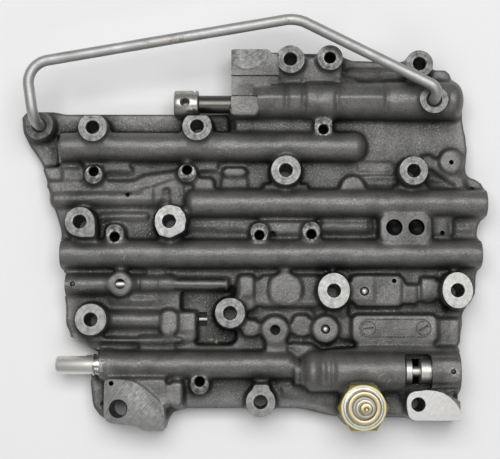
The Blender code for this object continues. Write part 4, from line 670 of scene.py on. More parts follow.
def bossCuts():
    # The spot faces and holes of the bolt bosses and the small bosses
    spec = casting
    top, over = spec["faceTop"], spec["cutTop"]
    halfX, thick, foot = spec["flatBack"]
    back = spec["headFlat"]
    cuts = []
    for name, (x, y, radiusX, radiusY, _) in spec["bosses"].items():
        cuts.append(post(x, y, top, over, radiusX + spec["spotFace"], radiusY + spec["spotFace"]))
        if name == "blind":
            radius, low, tip = spec["blindHole"]
            cuts.append(drilled(x, y, low, top, radius, tip=tip))
        else:
            cuts.append(drilled(x, y, spec["cutFoot"], top, spec["holeRadius"]))
        if name in spec["flatBacked"]:
            cuts.append(block(x - halfX, x + halfX, back, back + thick, foot, over))
    for corners in spec["lugs"].values():
        cuts.append(slab(corners, top, over))
    low, radius = spec["smallTop"], spec["smallRadius"] + 0.5
    for x, y, side, _ in spec["smallBosses"].values():
        cuts.append(post(x, y + side * spec["smallShift"], low, low + 5.0, radius))
        cuts.append(drilled(x, y, spec["tapFoot"], low, spec["tapRadius"], tip=1.4))
    return cuts


def holeCuts():
    # Tapped holes in the discs, ball wells, the twin holes, vents, the dowel's hole and the corner's bolt hole
    spec = casting
    twin, well, vent = spec["twin"], spec["well"], spec["vent"]
    cuts = []
    for name, foot in (("teardrop", spec["tapFoot"]), ("gauge", 14.0)):
        x, y, _, padTop = spec["discs"][name]
        cuts.append(drilled(x, y, foot, padTop, spec["tapRadius"], 0.4))
    for x, y in spec["wells"]:
        cuts.append(drilled(x, y, well["foot"], well["top"], well["radius"], 0.0))
    for x, y in spec["twins"]:
        cuts.append(drilled(x, y, twin["foot"], twin["top"], twin["radius"], twin["chamfer"], twin["tip"]))
    for x, y in spec["vents"]:
        cuts.append(post(x, y, vent["foot"], spec["cutTop"], vent["radius"], segments=24))
    x, y, radius = spec["dowelHole"]
    cuts.append(drilled(x, y, spec["cutFoot"], spec["padTop"], radius))
    cuts.append(drilled(*spec["cornerHole"], spec["cutFoot"], spec["faceTop"], spec["holeRadius"]))
    return cuts


def boreCuts():
    # The bores with their milled mouths, and the two openings into them
    spec = casting
    foot, over = spec["cutFoot"], spec["cutTop"]
    cuts = []
    for x, y, z, radius, into in spec["bores"].values():
        cuts.append(boredLine(x, y, z, radius, into, spec["boreDepth"]))
        near, far = sorted((x, x - into * 4.0))
        half = radius + spec["mouthFace"]
        cuts.append(block(near, far, y - half, y + half, foot, over))
    for name in ("selectorBore", "sleeveBore"):
        x, y, z, radius, depth = spec[name]
        cuts.append(boredLine(x, y, z, radius, 1, depth))
    cuts.append(block(*spec["collarFace"], over))
    start, end, radius = spec["throttleBore"]
    cuts.append(lathe([(start, radius), (end, radius)], (0.0, *spec["sleeveBore"][1:3])))
    window = spec["window"]
    cuts.append(roundedBox(*window["sides"], window["floor"], over, window["corner"]))
    cuts.append(rodSlot())
    return cuts


def seatCuts():
    # The tube's sockets, the switch's seat, the oil ports and the holes of the cross pins
    spec, socket = casting, casting["tubeSocket"]
    foot, over = spec["cutFoot"], spec["cutTop"]
    cuts = []
    for x, y, radius, top, _ in spec["tubeBosses"].values():
        cuts.append(post(x, y, top, top + 5.0, radius + 1.0))
        cuts.append(drilled(x, y, top - socket["depth"], top, socket["radius"], socket["chamfer"]))
        cuts.append(post(x, y, socket["oilFoot"], top - 5.0, socket["oilWay"], segments=24))
    x, y, _, seat = spec["switchSeat"]
    cuts.append(post(x, y, seat, over, spec["switchSpotFace"]))
    cuts.append(drilled(x, y, socket["oilFoot"], seat, spec["switchHole"], 0.4))
    halfX, halfY, low, high = spec["port"]
    for x, y in spec["ports"]:
        cuts.append(block(x - halfX, x + halfX, y - halfY, y + halfY, low, high))
    inward, pinRadius, past = spec["pinHole"]
    for x, y, z, radius, into in spec["bores"].values():
        # The slim and the wide ridge are drilled from above, the rest from below
        fromTop = radius < 4.0 or radius > 7.0
        span = (z - radius - past, over) if fromTop else (foot, z + radius + past)
        cuts.append(post(x + into * inward, y, *span, pinRadius, segments=24))
    x, y, high = spec["sleevePinHole"]
    cuts.append(post(x, y, foot, high, pinRadius, segments=24))
    return cuts


def machiningCuts():
    # Every milled, drilled and bored shape, as closed cutters
    spec = casting
    foot, over = spec["cutFoot"], spec["cutTop"]
    milled = [slab(corners, low, over) for corners, low in spec["milled"].values()]
    matingFace = block(-160.0, 160.0, -140.0, 130.0, -12.0, 0.0)
    return ([matingFace] + bossCuts() + holeCuts() + milled + padMarks() + [slab(spec["cutCorner"], foot, over)]
            + boreCuts() + seatCuts())


def machined(blank):
    # Cuts the milled faces and the holes into the softened blank
    group = bpy.data.collections.new("cuts")
    bpy.context.scene.collection.children.link(group)
    for i, skin in enumerate(machiningCuts()):
        cutter = meshObject(f"cut{i}", *inMetres(skin))
        bpy.context.scene.collection.objects.unlink(cutter)
        group.objects.link(cutter)
    cut = blank.modifiers.new("machining", "BOOLEAN")
    cut.operation = "DIFFERENCE"
    cut.solver = "MANIFOLD"
    cut.operand_type = "COLLECTION"
    cut.collection = group
    graph = bpy.context.evaluated_depsgraph_get()
    baked = bpy.data.meshes.new_from_object(blank.evaluated_get(graph))
    blank.modifiers.clear()
    blank.data = baked
    for cutter in list(group.objects):
        bpy.data.objects.remove(cutter)
    bpy.data.collections.remove(group)
    print("machined to", len(baked.polygons), "faces")
    return blank


def heightField(points, cell=0.8, reach=7.0):
    # How high the casting stands round each place, in millimetres, as a grid with its corner and cell size
    low = points[:, :2].min(0) - 20
    size = np.ceil((points[:, :2].max(0) + 20 - low) / cell).astype(int)
    tallest = np.zeros(size)
    index = ((points[:, :2] - low) / cell).astype(int)
    np.maximum.at(tallest, (index[:, 0], index[:, 1]), points[:, 2])
    steps = int(reach / cell)
    for axis in (0, 1):
        for _ in range(2):
            total = np.cumsum(np.concatenate([np.zeros_like(np.take(tallest, [0], axis)), tallest], axis), axis)
            count = tallest.shape[axis]
            near = np.clip(np.arange(count) - steps, 0, count)
            far = np.clip(np.arange(count) + steps + 1, 0, count)
            width = (far - near).reshape((-1, 1) if axis == 0 else (1, -1))
            tallest = (np.take(total, far, axis) - np.take(total, near, axis)) / width
    return tallest, low, cell


def setAttribute(mesh, name, kind, domain, values):
    made = mesh.attributes.new(name, kind, domain)
    made.data.foreach_set("vector" if kind == "FLOAT_VECTOR" else "value", values.astype(np.float32).ravel())


def markHollows(mesh, field):
    # How deep each point lies below what stands round it: 0 on a crown, 1 in a valley
    around, low, cell = field
    points = np.zeros(len(mesh.vertices) * 3, np.float32)
    mesh.vertices.foreach_get("co", points)
    points = points.reshape(-1, 3) * 1000
    place = np.clip((points[:, :2] - low) / cell - 0.5, 0, np.array(around.shape) - 2)
    whole = place.astype(int)
    part = place - whole
    i, j = whole[:, 0], whole[:, 1]
    u, v = part[:, 0], part[:, 1]
    level = ((1 - u) * (1 - v) * around[i, j] + u * (1 - v) * around[i + 1, j]
             + (1 - u) * v * around[i, j + 1] + u * v * around[i + 1, j + 1])
    # this depth drives the painted shade in the hollows of the cast and bored finishes
    hollow = np.clip((level + 2.0 - points[:, 2]) / 8.5, 0, 1)
    setAttribute(mesh, "hollow", "FLOAT", "POINT", hollow)


def sortFaces(mesh):
    # Gives each face its finish: 0 cast, 1 milled, 2 bored, 3 the mating face. Milled faces keep the middle that
    # their cutter turned about and how bright they are drawn, partly their finish and partly a painted reflection
    spec = casting
    count = len(mesh.polygons)
    centres, normals = np.zeros(count * 3, np.float32), np.zeros(count * 3, np.float32)
    mesh.polygons.foreach_get("center", centres)
    mesh.polygons.foreach_get("normal", normals)
    centres, normals = centres.reshape(-1, 3) * 1000, normals.reshape(-1, 3)
    x, y, z = centres.T
    straight, near = 0.995, 0.02  # how square a cut face is, and how close to its height
    kind = np.zeros(count, np.int32)
    turnedAbout, tone = np.zeros((count, 3)), np.full(count, spec["tones"]["rest"])

    def level(height):
        return (normals[:, 2] > straight) & (np.abs(z - height) < near)

    def mark(chosen, aboutX, aboutY, value):
        kind[chosen] = 1
        turnedAbout[chosen] = (aboutX, aboutY, 0)
        tone[chosen] = value

    def bored(chosen):
        kind[chosen & (kind == 0)] = 2

    face, tones = level(spec["faceTop"]), spec["tones"]
    for bx, by, radiusX, radiusY, value in spec["bosses"].values():
        mark(face & (np.hypot(x - bx, y - by) < max(radiusX, radiusY) + 1.5), bx, by, value)
    for name, corners in spec["lugs"].items():
        xs, ys = zip(*corners)
        inside = (x > min(xs)) & (x < max(xs)) & (y > min(ys)) & (y < max(ys))
        mark(inside & face & (kind == 0), *spec["lugTurning"][name])
    for height, (left, right), (low, high), turning in spec["padTurning"].values():
        mark(level(spec[height]) & (x > left) & (x < right) & (y > low) & (y < high), *turning)
    for bx, by, side, _ in spec["smallBosses"].values():
        centreY = by + side * spec["smallShift"]
        mark(level(spec["smallTop"]) & (np.hypot(x - bx, y - centreY) < spec["smallRadius"] + 1.0), bx, by,
             tones["smallBoss"])
    for bx, by, radius, top, value in spec["tubeBosses"].values():
        mark(level(top) & (np.hypot(x - bx, y - by) < radius + 1.5), bx, by, value)
    bx, by, radius, top = spec["switchSeat"]
    mark(level(top) & (np.hypot(x - bx, y - by) < 16), bx, by, tones["switchSeat"])
    for mx, my, _, _, into in spec["bores"].values():
        mark((normals[:, 0] * -into > straight) & (np.abs(x - mx) < near), mx, my, tones["mouth"])
    mouthX, mouthY = spec["selectorBore"][:2]
    mark((normals[:, 0] < -straight) & (np.abs(x - mouthX) < near), mouthX, mouthY, tones["mouth"])
    endX, endY, endZ, boreRadius, _ = spec["sleeveBore"]
    ring = np.abs(np.hypot(y - endY, z - endZ) - boreRadius - 1.3) < 1.2
    mark((x < endX + 2.2) & (x > endX - 1.2) & (z > 13.0) & ring, endX, endY, tones["collar"])
    mark((normals[:, 1] > straight) & (np.abs(y - spec["headFlat"]) < near), -60.0, spec["headFlat"],
         tones["flatBack"])
    slot = spec["rodSlot"]
    inSlot = (x > slot["along"][0] - 0.1) & (x < slot["along"][1] + 0.1)
    inSlot &= (y > slot["across"][0] - 0.1) & (y < slot["across"][1] + 0.1)
    barY, barZ, barRadius = slot["bar"]
    mark(inSlot & (np.hypot(y - barY, z - barZ) < barRadius + 0.1) & (z > barZ), -27.5, -80.0, tones["bar"])

    holes = [(bx, by, spec["holeRadius"]) for bx, by, *_ in spec["bosses"].values()]
    holes += [(*spec["cornerHole"], spec["holeRadius"]), spec["dowelHole"]]
    holes += [(bx, by, spec["tapRadius"]) for bx, by, *_ in spec["smallBosses"].values()]
    holes += [(*spec["discs"][name][:2], spec["tapRadius"]) for name in ("teardrop", "gauge")]
    holes += [(px, py, spec["vent"]["radius"] + 0.1) for px, py in spec["vents"]]
    holes += [(px, py, spec["twin"]["radius"]) for px, py in spec["twins"]]
    holes += [(px, py, spec["well"]["radius"]) for px, py in spec["wells"]]
    holes += [(*spec["switchSeat"][:2], spec["switchHole"])]
    holes += [(bx, by, spec["tubeSocket"]["radius"] + 0.02) for bx, by, *_ in spec["tubeBosses"].values()]
    bored(inSlot & (z < spec["webTop"]))
    for hx, hy, radius in holes:
        bored(np.hypot(x - hx, y - hy) < radius + 0.55)
    depth = spec["boreDepth"]
    lines = []
    for mx, my, mz, radius, into in spec["bores"].values():
        lines.append((my, mz, radius, *sorted((mx, mx + into * depth))))
    for name in ("selectorBore", "sleeveBore"):
        mx, my, mz, radius, depth = spec[name]
        lines.append((my, mz, radius, mx, mx + depth))
    lines.append((endY, endZ, spec["throttleBore"][2], *spec["throttleBore"][:2]))
    for ly, lz, radius, start, end in lines:
        away = np.hypot(y - ly, z - lz)
        bored((away < radius + 0.5) & (x > start - 0.5) & (x < end + 0.6) & (np.abs(normals[:, 0]) < 0.8))
    kind[(normals[:, 2] < -straight) & (np.abs(z) < near)] = 3
    mesh.polygons.foreach_set("material_index", kind)
    setAttribute(mesh, "cutterCentre", "FLOAT_VECTOR", "FACE", turnedAbout)
    setAttribute(mesh, "tone", "FLOAT", "FACE", tone)


def finishedCasting():
    points, _, quads = castSurface()
    points = pressDents(points)
    field = heightField(points)
    blank = machined(softened(points, quads))
    blank.name = blank.data.name = "cast_body"
    blank.data.shade_smooth()
    blank.data.set_sharp_from_angle(angle=math.radians(38))
    markHollows(blank.data, field)
    return blank


# Finishes. Every pattern runs in the piece's own place in millimetres, so a noise scale of 0.5 gives marks that
# lie 2 mm apart

def joinSockets(tree, node, values):
    for key, value in values.items():
        socket = node.inputs[key]
        if isinstance(value, bpy.types.NodeSocket):
            tree.links.new(value, socket)
        else:
            socket.default_value = hexColour(value) if isinstance(value, str) else value


def addNode(tree, kind, values=None, output=0, **settings):
    # A shader node with its settings, and its sockets set or linked by name or number
    node = tree.nodes.new("ShaderNode" + kind)
    for key, value in settings.items():
        setattr(node, key, value)
    joinSockets(tree, node, values or {})
    return node.outputs[output]


def newMaterial(name):
    made = bpy.data.materials.new(name)
    made.use_nodes = True
    tree = made.node_tree
    place = addNode(tree, "VectorMath", {0: addNode(tree, "TexCoord", output="Object"), "Scale": 1000.0},
                    operation="SCALE")
    return made, tree, tree.nodes["Principled BSDF"], place


def spot(tree, place, centre, radius, blur=0.4, ragged=1.2):
    # 1 inside a ragged round patch about a place on the piece, 0 outside it
    away = addNode(tree, "VectorMath", {0: place, 1: centre}, "Value", operation="DISTANCE")
    wander = addNode(tree, "TexNoise", {"Vector": place, "Scale": 0.9, "Detail": 3.0, "Roughness": 0.55})
    wander = addNode(tree, "MapRange", {0: wander, 1: 0.3, 2: 0.7, 3: -ragged, 4: ragged})
    reach = addNode(tree, "Math", {0: away, 1: wander}, operation="ADD")
    return addNode(tree, "MapRange", {0: reach, 1: radius, 2: radius - blur * radius})


ironLook = {
    # the cast skin on its crowns and in its hollows, whose dark is partly oil and dust and partly painted shade,
    # where it is rubbed, and its pale and dark grains
    "crown": "#706F6D",
    "valley": "#1D1D1D",
    "rubbed": "#B4B3B0",
    "speck": "#969592",
    "pit": "#343433",
    "sealant": "#8E7C58",
    # milled faces from dull to bright, bored walls with the painted shade of their depth, and the mating face with
    # its stains
    "milled": ("#3F3F3E", "#D8D7D4"),
    "bored": ("#4B4A49", "#6E6D6B"),
    "deep": "#191919",
    "mating": ("#B4B2AE", "#8C8A86"),
    "metal": 0.62,
    "roughness": 0.44,
    "gritScale": 1.15,
    "gritDepth": 0.12,
    # dried sealant: place, radius, how ragged
    "sealantSpots": (((57.2, 64.9, 9.0), 0.7, 0.5), ((9.9, -34.9, 18.0), 0.7, 0.6), ((11.2, -38.4, 18.0), 0.5, 0.5),
                     ((-19.8, -67.3, 9.0), 1.2, 0.8), ((-22.2, -65.8, 9.0), 0.7, 0.5)),
    "rubbedSpots": (((116.8, -85.6, 27.5), 2.6, 3.0),),
    # scratches: place and direction
    "scratches": (((75.2, -85.9, 28.5), 25.0), ((79.4, -89.2, 27.5), 38.0), ((-73.2, -19.8, 23.5), 70.0)),
}


def sandCastIron():
    # Grey iron as cast in sand: a fine even grit of about 0.9 mm, dark in the hollows, partly from oil and dust
    # that stay there and partly as painted shade, and rubbed paler on the crowns. It is drawn a little coarser than
    # real moulding sand, so that it shows
    look, tree, shader, place = newMaterial("sandCastIron")
    hollow = addNode(tree, "Attribute", output="Fac", attribute_name="hollow")
    grit = addNode(tree, "TexNoise", {"Vector": place, "Scale": ironLook["gritScale"], "Detail": 5.0,
                                      "Roughness": 0.62})
    stains = addNode(tree, "TexNoise", {"Vector": place, "Scale": 0.09, "Detail": 4.0, "Roughness": 0.6})
    stains = addNode(tree, "MapRange", {0: stains, 1: 0.3, 2: 0.7, 3: -0.16, 4: 0.16})
    # painted shade: the lower a place lies below what stands round it, the nearer its colour comes to the valley
    # colour; oil and dust are part of it
    shade = addNode(tree, "Math", {0: hollow, 1: stains}, operation="ADD")
    shade = addNode(tree, "MapRange", {0: shade, 1: 0.03, 2: 0.95})
    shade = addNode(tree, "Math", {0: shade, 1: 0.72}, operation="POWER")
    colour = addNode(tree, "Mix", {0: shade, 6: ironLook["crown"], 7: ironLook["valley"]}, 2, data_type="RGBA")
    bright = addNode(tree, "MapRange", {0: grit, 1: 0.56, 2: 0.74, 4: 0.55})
    colour = addNode(tree, "Mix", {0: bright, 6: colour, 7: ironLook["speck"]}, 2, data_type="RGBA",
                     blend_type="LIGHTEN")
    dark = addNode(tree, "MapRange", {0: grit, 1: 0.44, 2: 0.30, 4: 0.7})
    colour = addNode(tree, "Mix", {0: dark, 6: colour, 7: ironLook["pit"]}, 2, data_type="RGBA",
                     blend_type="DARKEN")
    crown = addNode(tree, "MapRange", {0: hollow, 1: 0.16, 2: 0.04})
    cluster = addNode(tree, "TexNoise", {"Vector": place, "Scale": 0.04, "Detail": 2.0, "Roughness": 0.55})
    cluster = addNode(tree, "MapRange", {0: cluster, 1: 0.48, 2: 0.62})
    bumps = addNode(tree, "TexNoise", {"Vector": place, "Scale": 0.75, "Detail": 4.0, "Roughness": 0.7})
    bumps = addNode(tree, "MapRange", {0: bumps, 1: 0.60, 2: 0.70, 4: 0.8})
    rubbed = addNode(tree, "Math", {0: crown, 1: cluster}, operation="MULTIPLY")
    rubbed = addNode(tree, "Math", {0: rubbed, 1: bumps}, operation="MULTIPLY")
    for centre, radius, ragged in ironLook["rubbedSpots"]:
        patch = addNode(tree, "Math", {0: spot(tree, place, centre, radius, 0.6, ragged), 1: 0.55},
                        operation="MULTIPLY")
        rubbed = addNode(tree, "Math", {0: rubbed, 1: patch}, operation="MAXIMUM")
    for centre, turn in ironLook["scratches"]:
        line = addNode(tree, "Mapping", {"Vector": place, "Location": centre,
                                         "Rotation": (0.0, 0.0, math.radians(turn)),
                                         "Scale": (3.2, 0.22, 1.0)}, vector_type="TEXTURE")
        rubbed = addNode(tree, "Math", {0: rubbed, 1: spot(tree, line, (0.0, 0.0, 0.0), 1.0, 0.6, 0.3)},
                         operation="MAXIMUM")
    colour = addNode(tree, "Mix", {0: rubbed, 6: colour, 7: ironLook["rubbed"]}, 2, data_type="RGBA")
    for centre, radius, ragged in ironLook["sealantSpots"]:
        colour = addNode(tree, "Mix", {0: spot(tree, place, centre, radius, 0.5, ragged), 6: colour,
                                       7: ironLook["sealant"]}, 2, data_type="RGBA")
    roughness = addNode(tree, "MapRange", {0: grit, 1: 0.35, 2: 0.7, 3: ironLook["roughness"] + 0.08,
                                           4: ironLook["roughness"] - 0.08})
    waves = addNode(tree, "TexNoise", {"Vector": place, "Scale": 0.35, "Detail": 3.0, "Roughness": 0.5})
    height = addNode(tree, "Math", {0: waves, 1: 1.2, 2: grit}, operation="MULTIPLY_ADD")
    normal = addNode(tree, "Bump", {"Height": height, "Distance": ironLook["gritDepth"] / 1000})
    joinSockets(tree, shader, {"Base Color": colour, "Metallic": ironLook["metal"], "Roughness": roughness,
                               "Normal": normal})
    return look


def milledIron():
    # Iron cut by an end mill: rings about each boss, a painted sheen that fans lighter and darker round its centre,
    # and a brighter ring round the edge of the hole. Real rings lie about 0.1 mm apart. They are drawn 0.6 mm
    # apart, so that they show
    look, tree, shader, place = newMaterial("milledIron")
    centre = addNode(tree, "Attribute", output="Vector", attribute_name="cutterCentre")
    # the tone is partly the face's finish and partly a painted reflection
    tone = addNode(tree, "Attribute", output="Fac", attribute_name="tone")
    away = addNode(tree, "VectorMath", {0: place, 1: centre}, operation="SUBTRACT")
    flat = addNode(tree, "VectorMath", {0: away, 1: (1.0, 1.0, 0.0)}, operation="MULTIPLY")
    distance = addNode(tree, "VectorMath", {0: flat}, "Value", operation="LENGTH")
    wander = addNode(tree, "TexNoise", {"Vector": place, "Scale": 0.25, "Detail": 3.0, "Roughness": 0.55})
    wander = addNode(tree, "Math", {0: wander, 1: 0.8}, operation="MULTIPLY")
    along = addNode(tree, "Math", {0: distance, 1: 1.7, 2: wander}, operation="MULTIPLY_ADD")
    rings = addNode(tree, "TexNoise", {"Vector": addNode(tree, "CombineXYZ", {"X": along}), "Scale": 1.0,
                                       "Detail": 2.0, "Roughness": 0.7})
    smudge = addNode(tree, "TexNoise", {"Vector": place, "Scale": 0.5, "Detail": 4.0, "Roughness": 0.6})
    # painted sheen: a fan of lighter and darker colour round the cutter's centre
    fan = addNode(tree, "TexNoise", {"Vector": addNode(tree, "VectorMath", {0: flat}, operation="NORMALIZE"),
                                     "Scale": 1.1, "Detail": 2.0, "Roughness": 0.6})
    for pattern, share in ((smudge, 0.06), (rings, 0.15), (fan, 0.14)):
        tone = addNode(tree, "Math", {0: tone, 1: addNode(tree, "MapRange", {0: pattern, 1: 0.3, 2: 0.7, 3: -share,
                                                                             4: share})}, operation="ADD")
    # a brighter ring just round the hole's edge
    nearHole = addNode(tree, "MapRange", {0: distance, 1: 4.5, 2: 4.1})
    holeEdgeLift = addNode(tree, "MapRange", {0: smudge, 1: 0.35, 2: 0.55, 4: 0.24})
    tone = addNode(tree, "Math", {0: nearHole, 1: holeEdgeLift, 2: tone}, operation="MULTIPLY_ADD")
    tone = addNode(tree, "MapRange", {0: tone, 1: 0.0, 2: 1.27})
    colour = addNode(tree, "Mix", {0: tone, 6: ironLook["milled"][0], 7: ironLook["milled"][1]}, 2,
                     data_type="RGBA")
    roughness = addNode(tree, "MapRange", {0: smudge, 1: 0.3, 2: 0.7, 3: 0.52, 4: 0.38})
    normal = addNode(tree, "Bump", {"Height": rings, "Distance": 0.02 / 1000})
    joinSockets(tree, shader, {"Base Color": colour, "Metallic": 0.85, "Roughness": roughness, "Normal": normal})
    return look


def boredIron():
    # Bored and drilled walls: smooth dark iron with a film of oil, and painted shade that makes them darker the
    # lower they lie
    look, tree, shader, place = newMaterial("boredIron")
    film = addNode(tree, "TexNoise", {"Vector": place, "Scale": 0.7, "Detail": 3.0, "Roughness": 0.55})
    colour = addNode(tree, "Mix", {0: film, 6: ironLook["bored"][0], 7: ironLook["bored"][1]}, 2, data_type="RGBA")
    hollow = addNode(tree, "Attribute", output="Fac", attribute_name="hollow")
    # painted shade: the further down the wall lies, the nearer it comes to the near black colour
    deep = addNode(tree, "MapRange", {0: hollow, 1: 0.15, 2: 0.75})
    colour = addNode(tree, "Mix", {0: deep, 6: colour, 7: ironLook["deep"]}, 2, data_type="RGBA")
    roughness = addNode(tree, "MapRange", {0: film, 1: 0.3, 2: 0.7, 3: 0.32, 4: 0.48})
    joinSockets(tree, shader, {"Base Color": colour, "Metallic": 0.9, "Roughness": roughness})
    return look


def groundIron():
    # The mating face, surface ground along its length: bright iron with long fine lines and a few oil stains
    look, tree, shader, place = newMaterial("groundMatingFace")
    stretched = addNode(tree, "VectorMath", {0: place, 1: (0.03, 3.0, 1.0)}, operation="MULTIPLY")
    lines = addNode(tree, "TexNoise", {"Vector": stretched, "Scale": 1.0, "Detail": 3.0, "Roughness": 0.55})
    stain = addNode(tree, "TexNoise", {"Vector": place, "Scale": 0.06, "Detail": 4.0, "Roughness": 0.55})
    stain = addNode(tree, "MapRange", {0: stain, 1: 0.35, 2: 0.7})
    colour = addNode(tree, "Mix", {0: stain, 6: ironLook["mating"][0], 7: ironLook["mating"][1]}, 2,
                     data_type="RGBA")
    roughness = addNode(tree, "MapRange", {0: lines, 1: 0.3, 2: 0.7, 3: 0.25, 4: 0.42})
    normal = addNode(tree, "Bump", {"Height": lines, "Distance": 0.01 / 1000})
    joinSockets(tree, shader, {"Base Color": colour, "Metallic": 0.9, "Roughness": roughness, "Normal": normal})
    return look


body = finishedCasting()
body.data.materials.clear()
for look in (sandCastIron(), milledIron(), boredIron(), groundIron()):
    body.data.materials.append(look)
sortFaces(body.data)
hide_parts("valve_body_casting")
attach(body, "casting")


# Finishes of the loose and fitted pieces

def workedMetal(name, colours, roughness, metallic=1.0, grain=(0.6, 0.6, 0.6), depth=0.0, patchScale=0.12,
                contrast=0.12):
    # Metal with tool marks: the grain's three scales are marks in a millimetre along X, Y and Z
    look, tree, shader, place = newMaterial(name)
    stretched = addNode(tree, "VectorMath", {0: place, 1: grain}, operation="MULTIPLY")
    marks = addNode(tree, "TexNoise", {"Vector": stretched, "Scale": 1.0, "Detail": 3.0, "Roughness": 0.6})
    patches = addNode(tree, "TexNoise", {"Vector": place, "Scale": patchScale, "Detail": 4.0, "Roughness": 0.6})
    patches = addNode(tree, "MapRange", {0: patches, 1: 0.3, 2: 0.7})
    share = addNode(tree, "MapRange", {0: marks, 1: 0.3, 2: 0.7, 3: -contrast, 4: contrast})
    mixed = addNode(tree, "Math", {0: patches, 1: share}, operation="ADD")
    colour = addNode(tree, "Mix", {0: mixed, 6: colours[0], 7: colours[1]}, 2, data_type="RGBA")
    gloss = addNode(tree, "MapRange", {0: mixed, 1: 0.0, 2: 1.0, 3: roughness[0], 4: roughness[1]})
    joinSockets(tree, shader, {"Base Color": colour, "Metallic": metallic, "Roughness": gloss})
    if depth:
        joinSockets(tree, shader, {"Normal": addNode(tree, "Bump", {"Height": marks, "Distance": depth / 1000})})
    return look, tree, shader, place, colour


def aboutAxis(tree, place, y, x=None):
    # How far a place is from the piece's own axis, which runs along Z when x is given and along X when it isn't
    centre, flat = ((0.0, y, 17.0), (0.0, 1.0, 1.0)) if x is None else ((x, y, 0.0), (1.0, 1.0, 0.0))
    away = addNode(tree, "VectorMath", {0: place, 1: centre}, operation="SUBTRACT")
    across = addNode(tree, "VectorMath", {0: away, 1: flat}, operation="MULTIPLY")
    return addNode(tree, "VectorMath", {0: across}, "Value", operation="LENGTH")


# Room between a loose piece and its bore, then the radius of the springs' wire, their turns and how much of a turn
# lies flat at each end
clearance = 0.3
springs = {"wire": 0.55, "turns": 5, "closed": 0.9}


def piece(name, skin, look, body, node=None, cuts=(), smoothAngle=35):
    # One piece in metres, less its cutters. It stands in for its CAD node where one is named
    made = meshObject(name, *inMetres(skin), look=look, smoothAngle=smoothAngle)
    if cuts:
        for i, cutSkin in enumerate(cuts):
            cutter = meshObject(f"{name}Cut{i}", *inMetres(cutSkin))
            cut = made.modifiers.new("cut", "BOOLEAN")
            cut.operation, cut.solver, cut.object = "DIFFERENCE", "EXACT", cutter
        baked = bpy.data.meshes.new_from_object(made.evaluated_get(bpy.context.evaluated_depsgraph_get()))
        made.modifiers.clear()
        made.data = baked
        made.data.materials.clear()
        made.data.materials.append(look)
        made.data.shade_smooth()
        made.data.set_sharp_from_angle(angle=math.radians(smoothAngle))
        for i in range(len(cuts)):
            bpy.data.objects.remove(bpy.data.objects[f"{name}Cut{i}"])
    if node:
        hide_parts(node)
    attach(made, body)
    return made


def roundedPath(corners, radii, steps=22):
    # A route through the corners with each inner corner bent to its radius
    path = [Vector(corners[0])]
    for before, here, after, radius in zip(corners, corners[1:], corners[2:], radii):
        here = Vector(here)
        back, ahead = (Vector(before) - here).normalized(), (Vector(after) - here).normalized()
        half = back.angle(ahead) / 2
        centre = here + (back + ahead).normalized() * radius / math.sin(half)
        start, end = here + back * radius / math.tan(half) - centre, here + ahead * radius / math.tan(half) - centre
        for i in range(steps + 1):
            arm = start.slerp(end, i / steps)
            path.append(centre + arm * (start.length / max(arm.length, 1e-9)))
    path.append(Vector(corners[-1]))
    return path


def spread(path, most=3.0):
    # The same route with no step longer than the most
    points = [path[0]]
    for here in path[1:]:
        count = max(1, math.ceil((here - points[-1]).length / most))
        before = points[-1]
        points += [before.lerp(here, i / count) for i in range(1, count + 1)]
    return points


def sweep(path, radiusAt, segments=28):
    # Rings of a round bar along a route, turned so that they don't twist. radiusAt gives the radius at each step
    heading = (path[1] - path[0]).normalized()
    side = heading.orthogonal().normalized()
    rings = []
    for i, here in enumerate(path):
        ahead = (path[min(i + 1, len(path) - 1)] - path[max(i - 1, 0)]).normalized()
        side = (side - ahead * side.dot(ahead)).normalized()
        other = ahead.cross(side)
        radius = radiusAt(i, here)
        rings.append([
            tuple(here + side * (radius * math.cos(a)) + other * (radius * math.sin(a)))
            for a in (2 * math.pi * k / segments for k in range(segments))
        ])
    return joinRings(rings)


def coilSkin(low, high, y, z, coil, turns, closed=0.0, startTurn=0.0, steps=20):
    # A coil spring along X, whose end turns lie flat when closed is given
    wire = springs["wire"]
    rise = 2.2 * wire if closed else 0.0
    first, last = low + wire, high - wire
    points = []
    for i in range(int(turns * steps) + 1):
        turn = i / steps
        if closed and turn < closed:
            along = rise * turn / closed
        elif closed and turn > turns - closed:
            along = (last - first) - rise * (turns - turn) / closed
        else:
            along = rise + (turn - closed) / (turns - 2 * closed) * (last - first - 2 * rise)
        angle = 2 * math.pi * (turn + startTurn)
        points.append(Vector((first + along, y + coil * math.cos(angle), z + coil * math.sin(angle))))
    return sweep(points, lambda i, here: wire, segments=10)


def oilGroove(middle, radius, half, depth):
    return [(middle - half, radius), (middle - half, radius - depth), (middle + half, radius - depth),
            (middle + half, radius)]


def spoolProfile(lands, stems, landRadius, stemRadius):
    # Lands joined by stems, from 0 along the valve. A long land has three fine oil grooves
    bevel = 0.25
    profile, along = [], 0.0
    for i, length in enumerate(lands):
        profile += [(along, stemRadius), (along, landRadius - bevel), (along + bevel, landRadius)]
        if length > 6:
            for share in (0.3, 0.5, 0.7):
                profile += oilGroove(along + length * share, landRadius, 0.2, bevel)
        along += length
        profile += [(along - bevel, landRadius), (along, landRadius - bevel), (along, stemRadius)]
        if i < len(stems):
            along += stems[i]
    return profile


def facingIn(profile, start, into):
    # The profile from its start in the direction of the bore
    placed = [(start + into * along, radius) for along, radius in profile]
    return placed if into > 0 else placed[::-1]


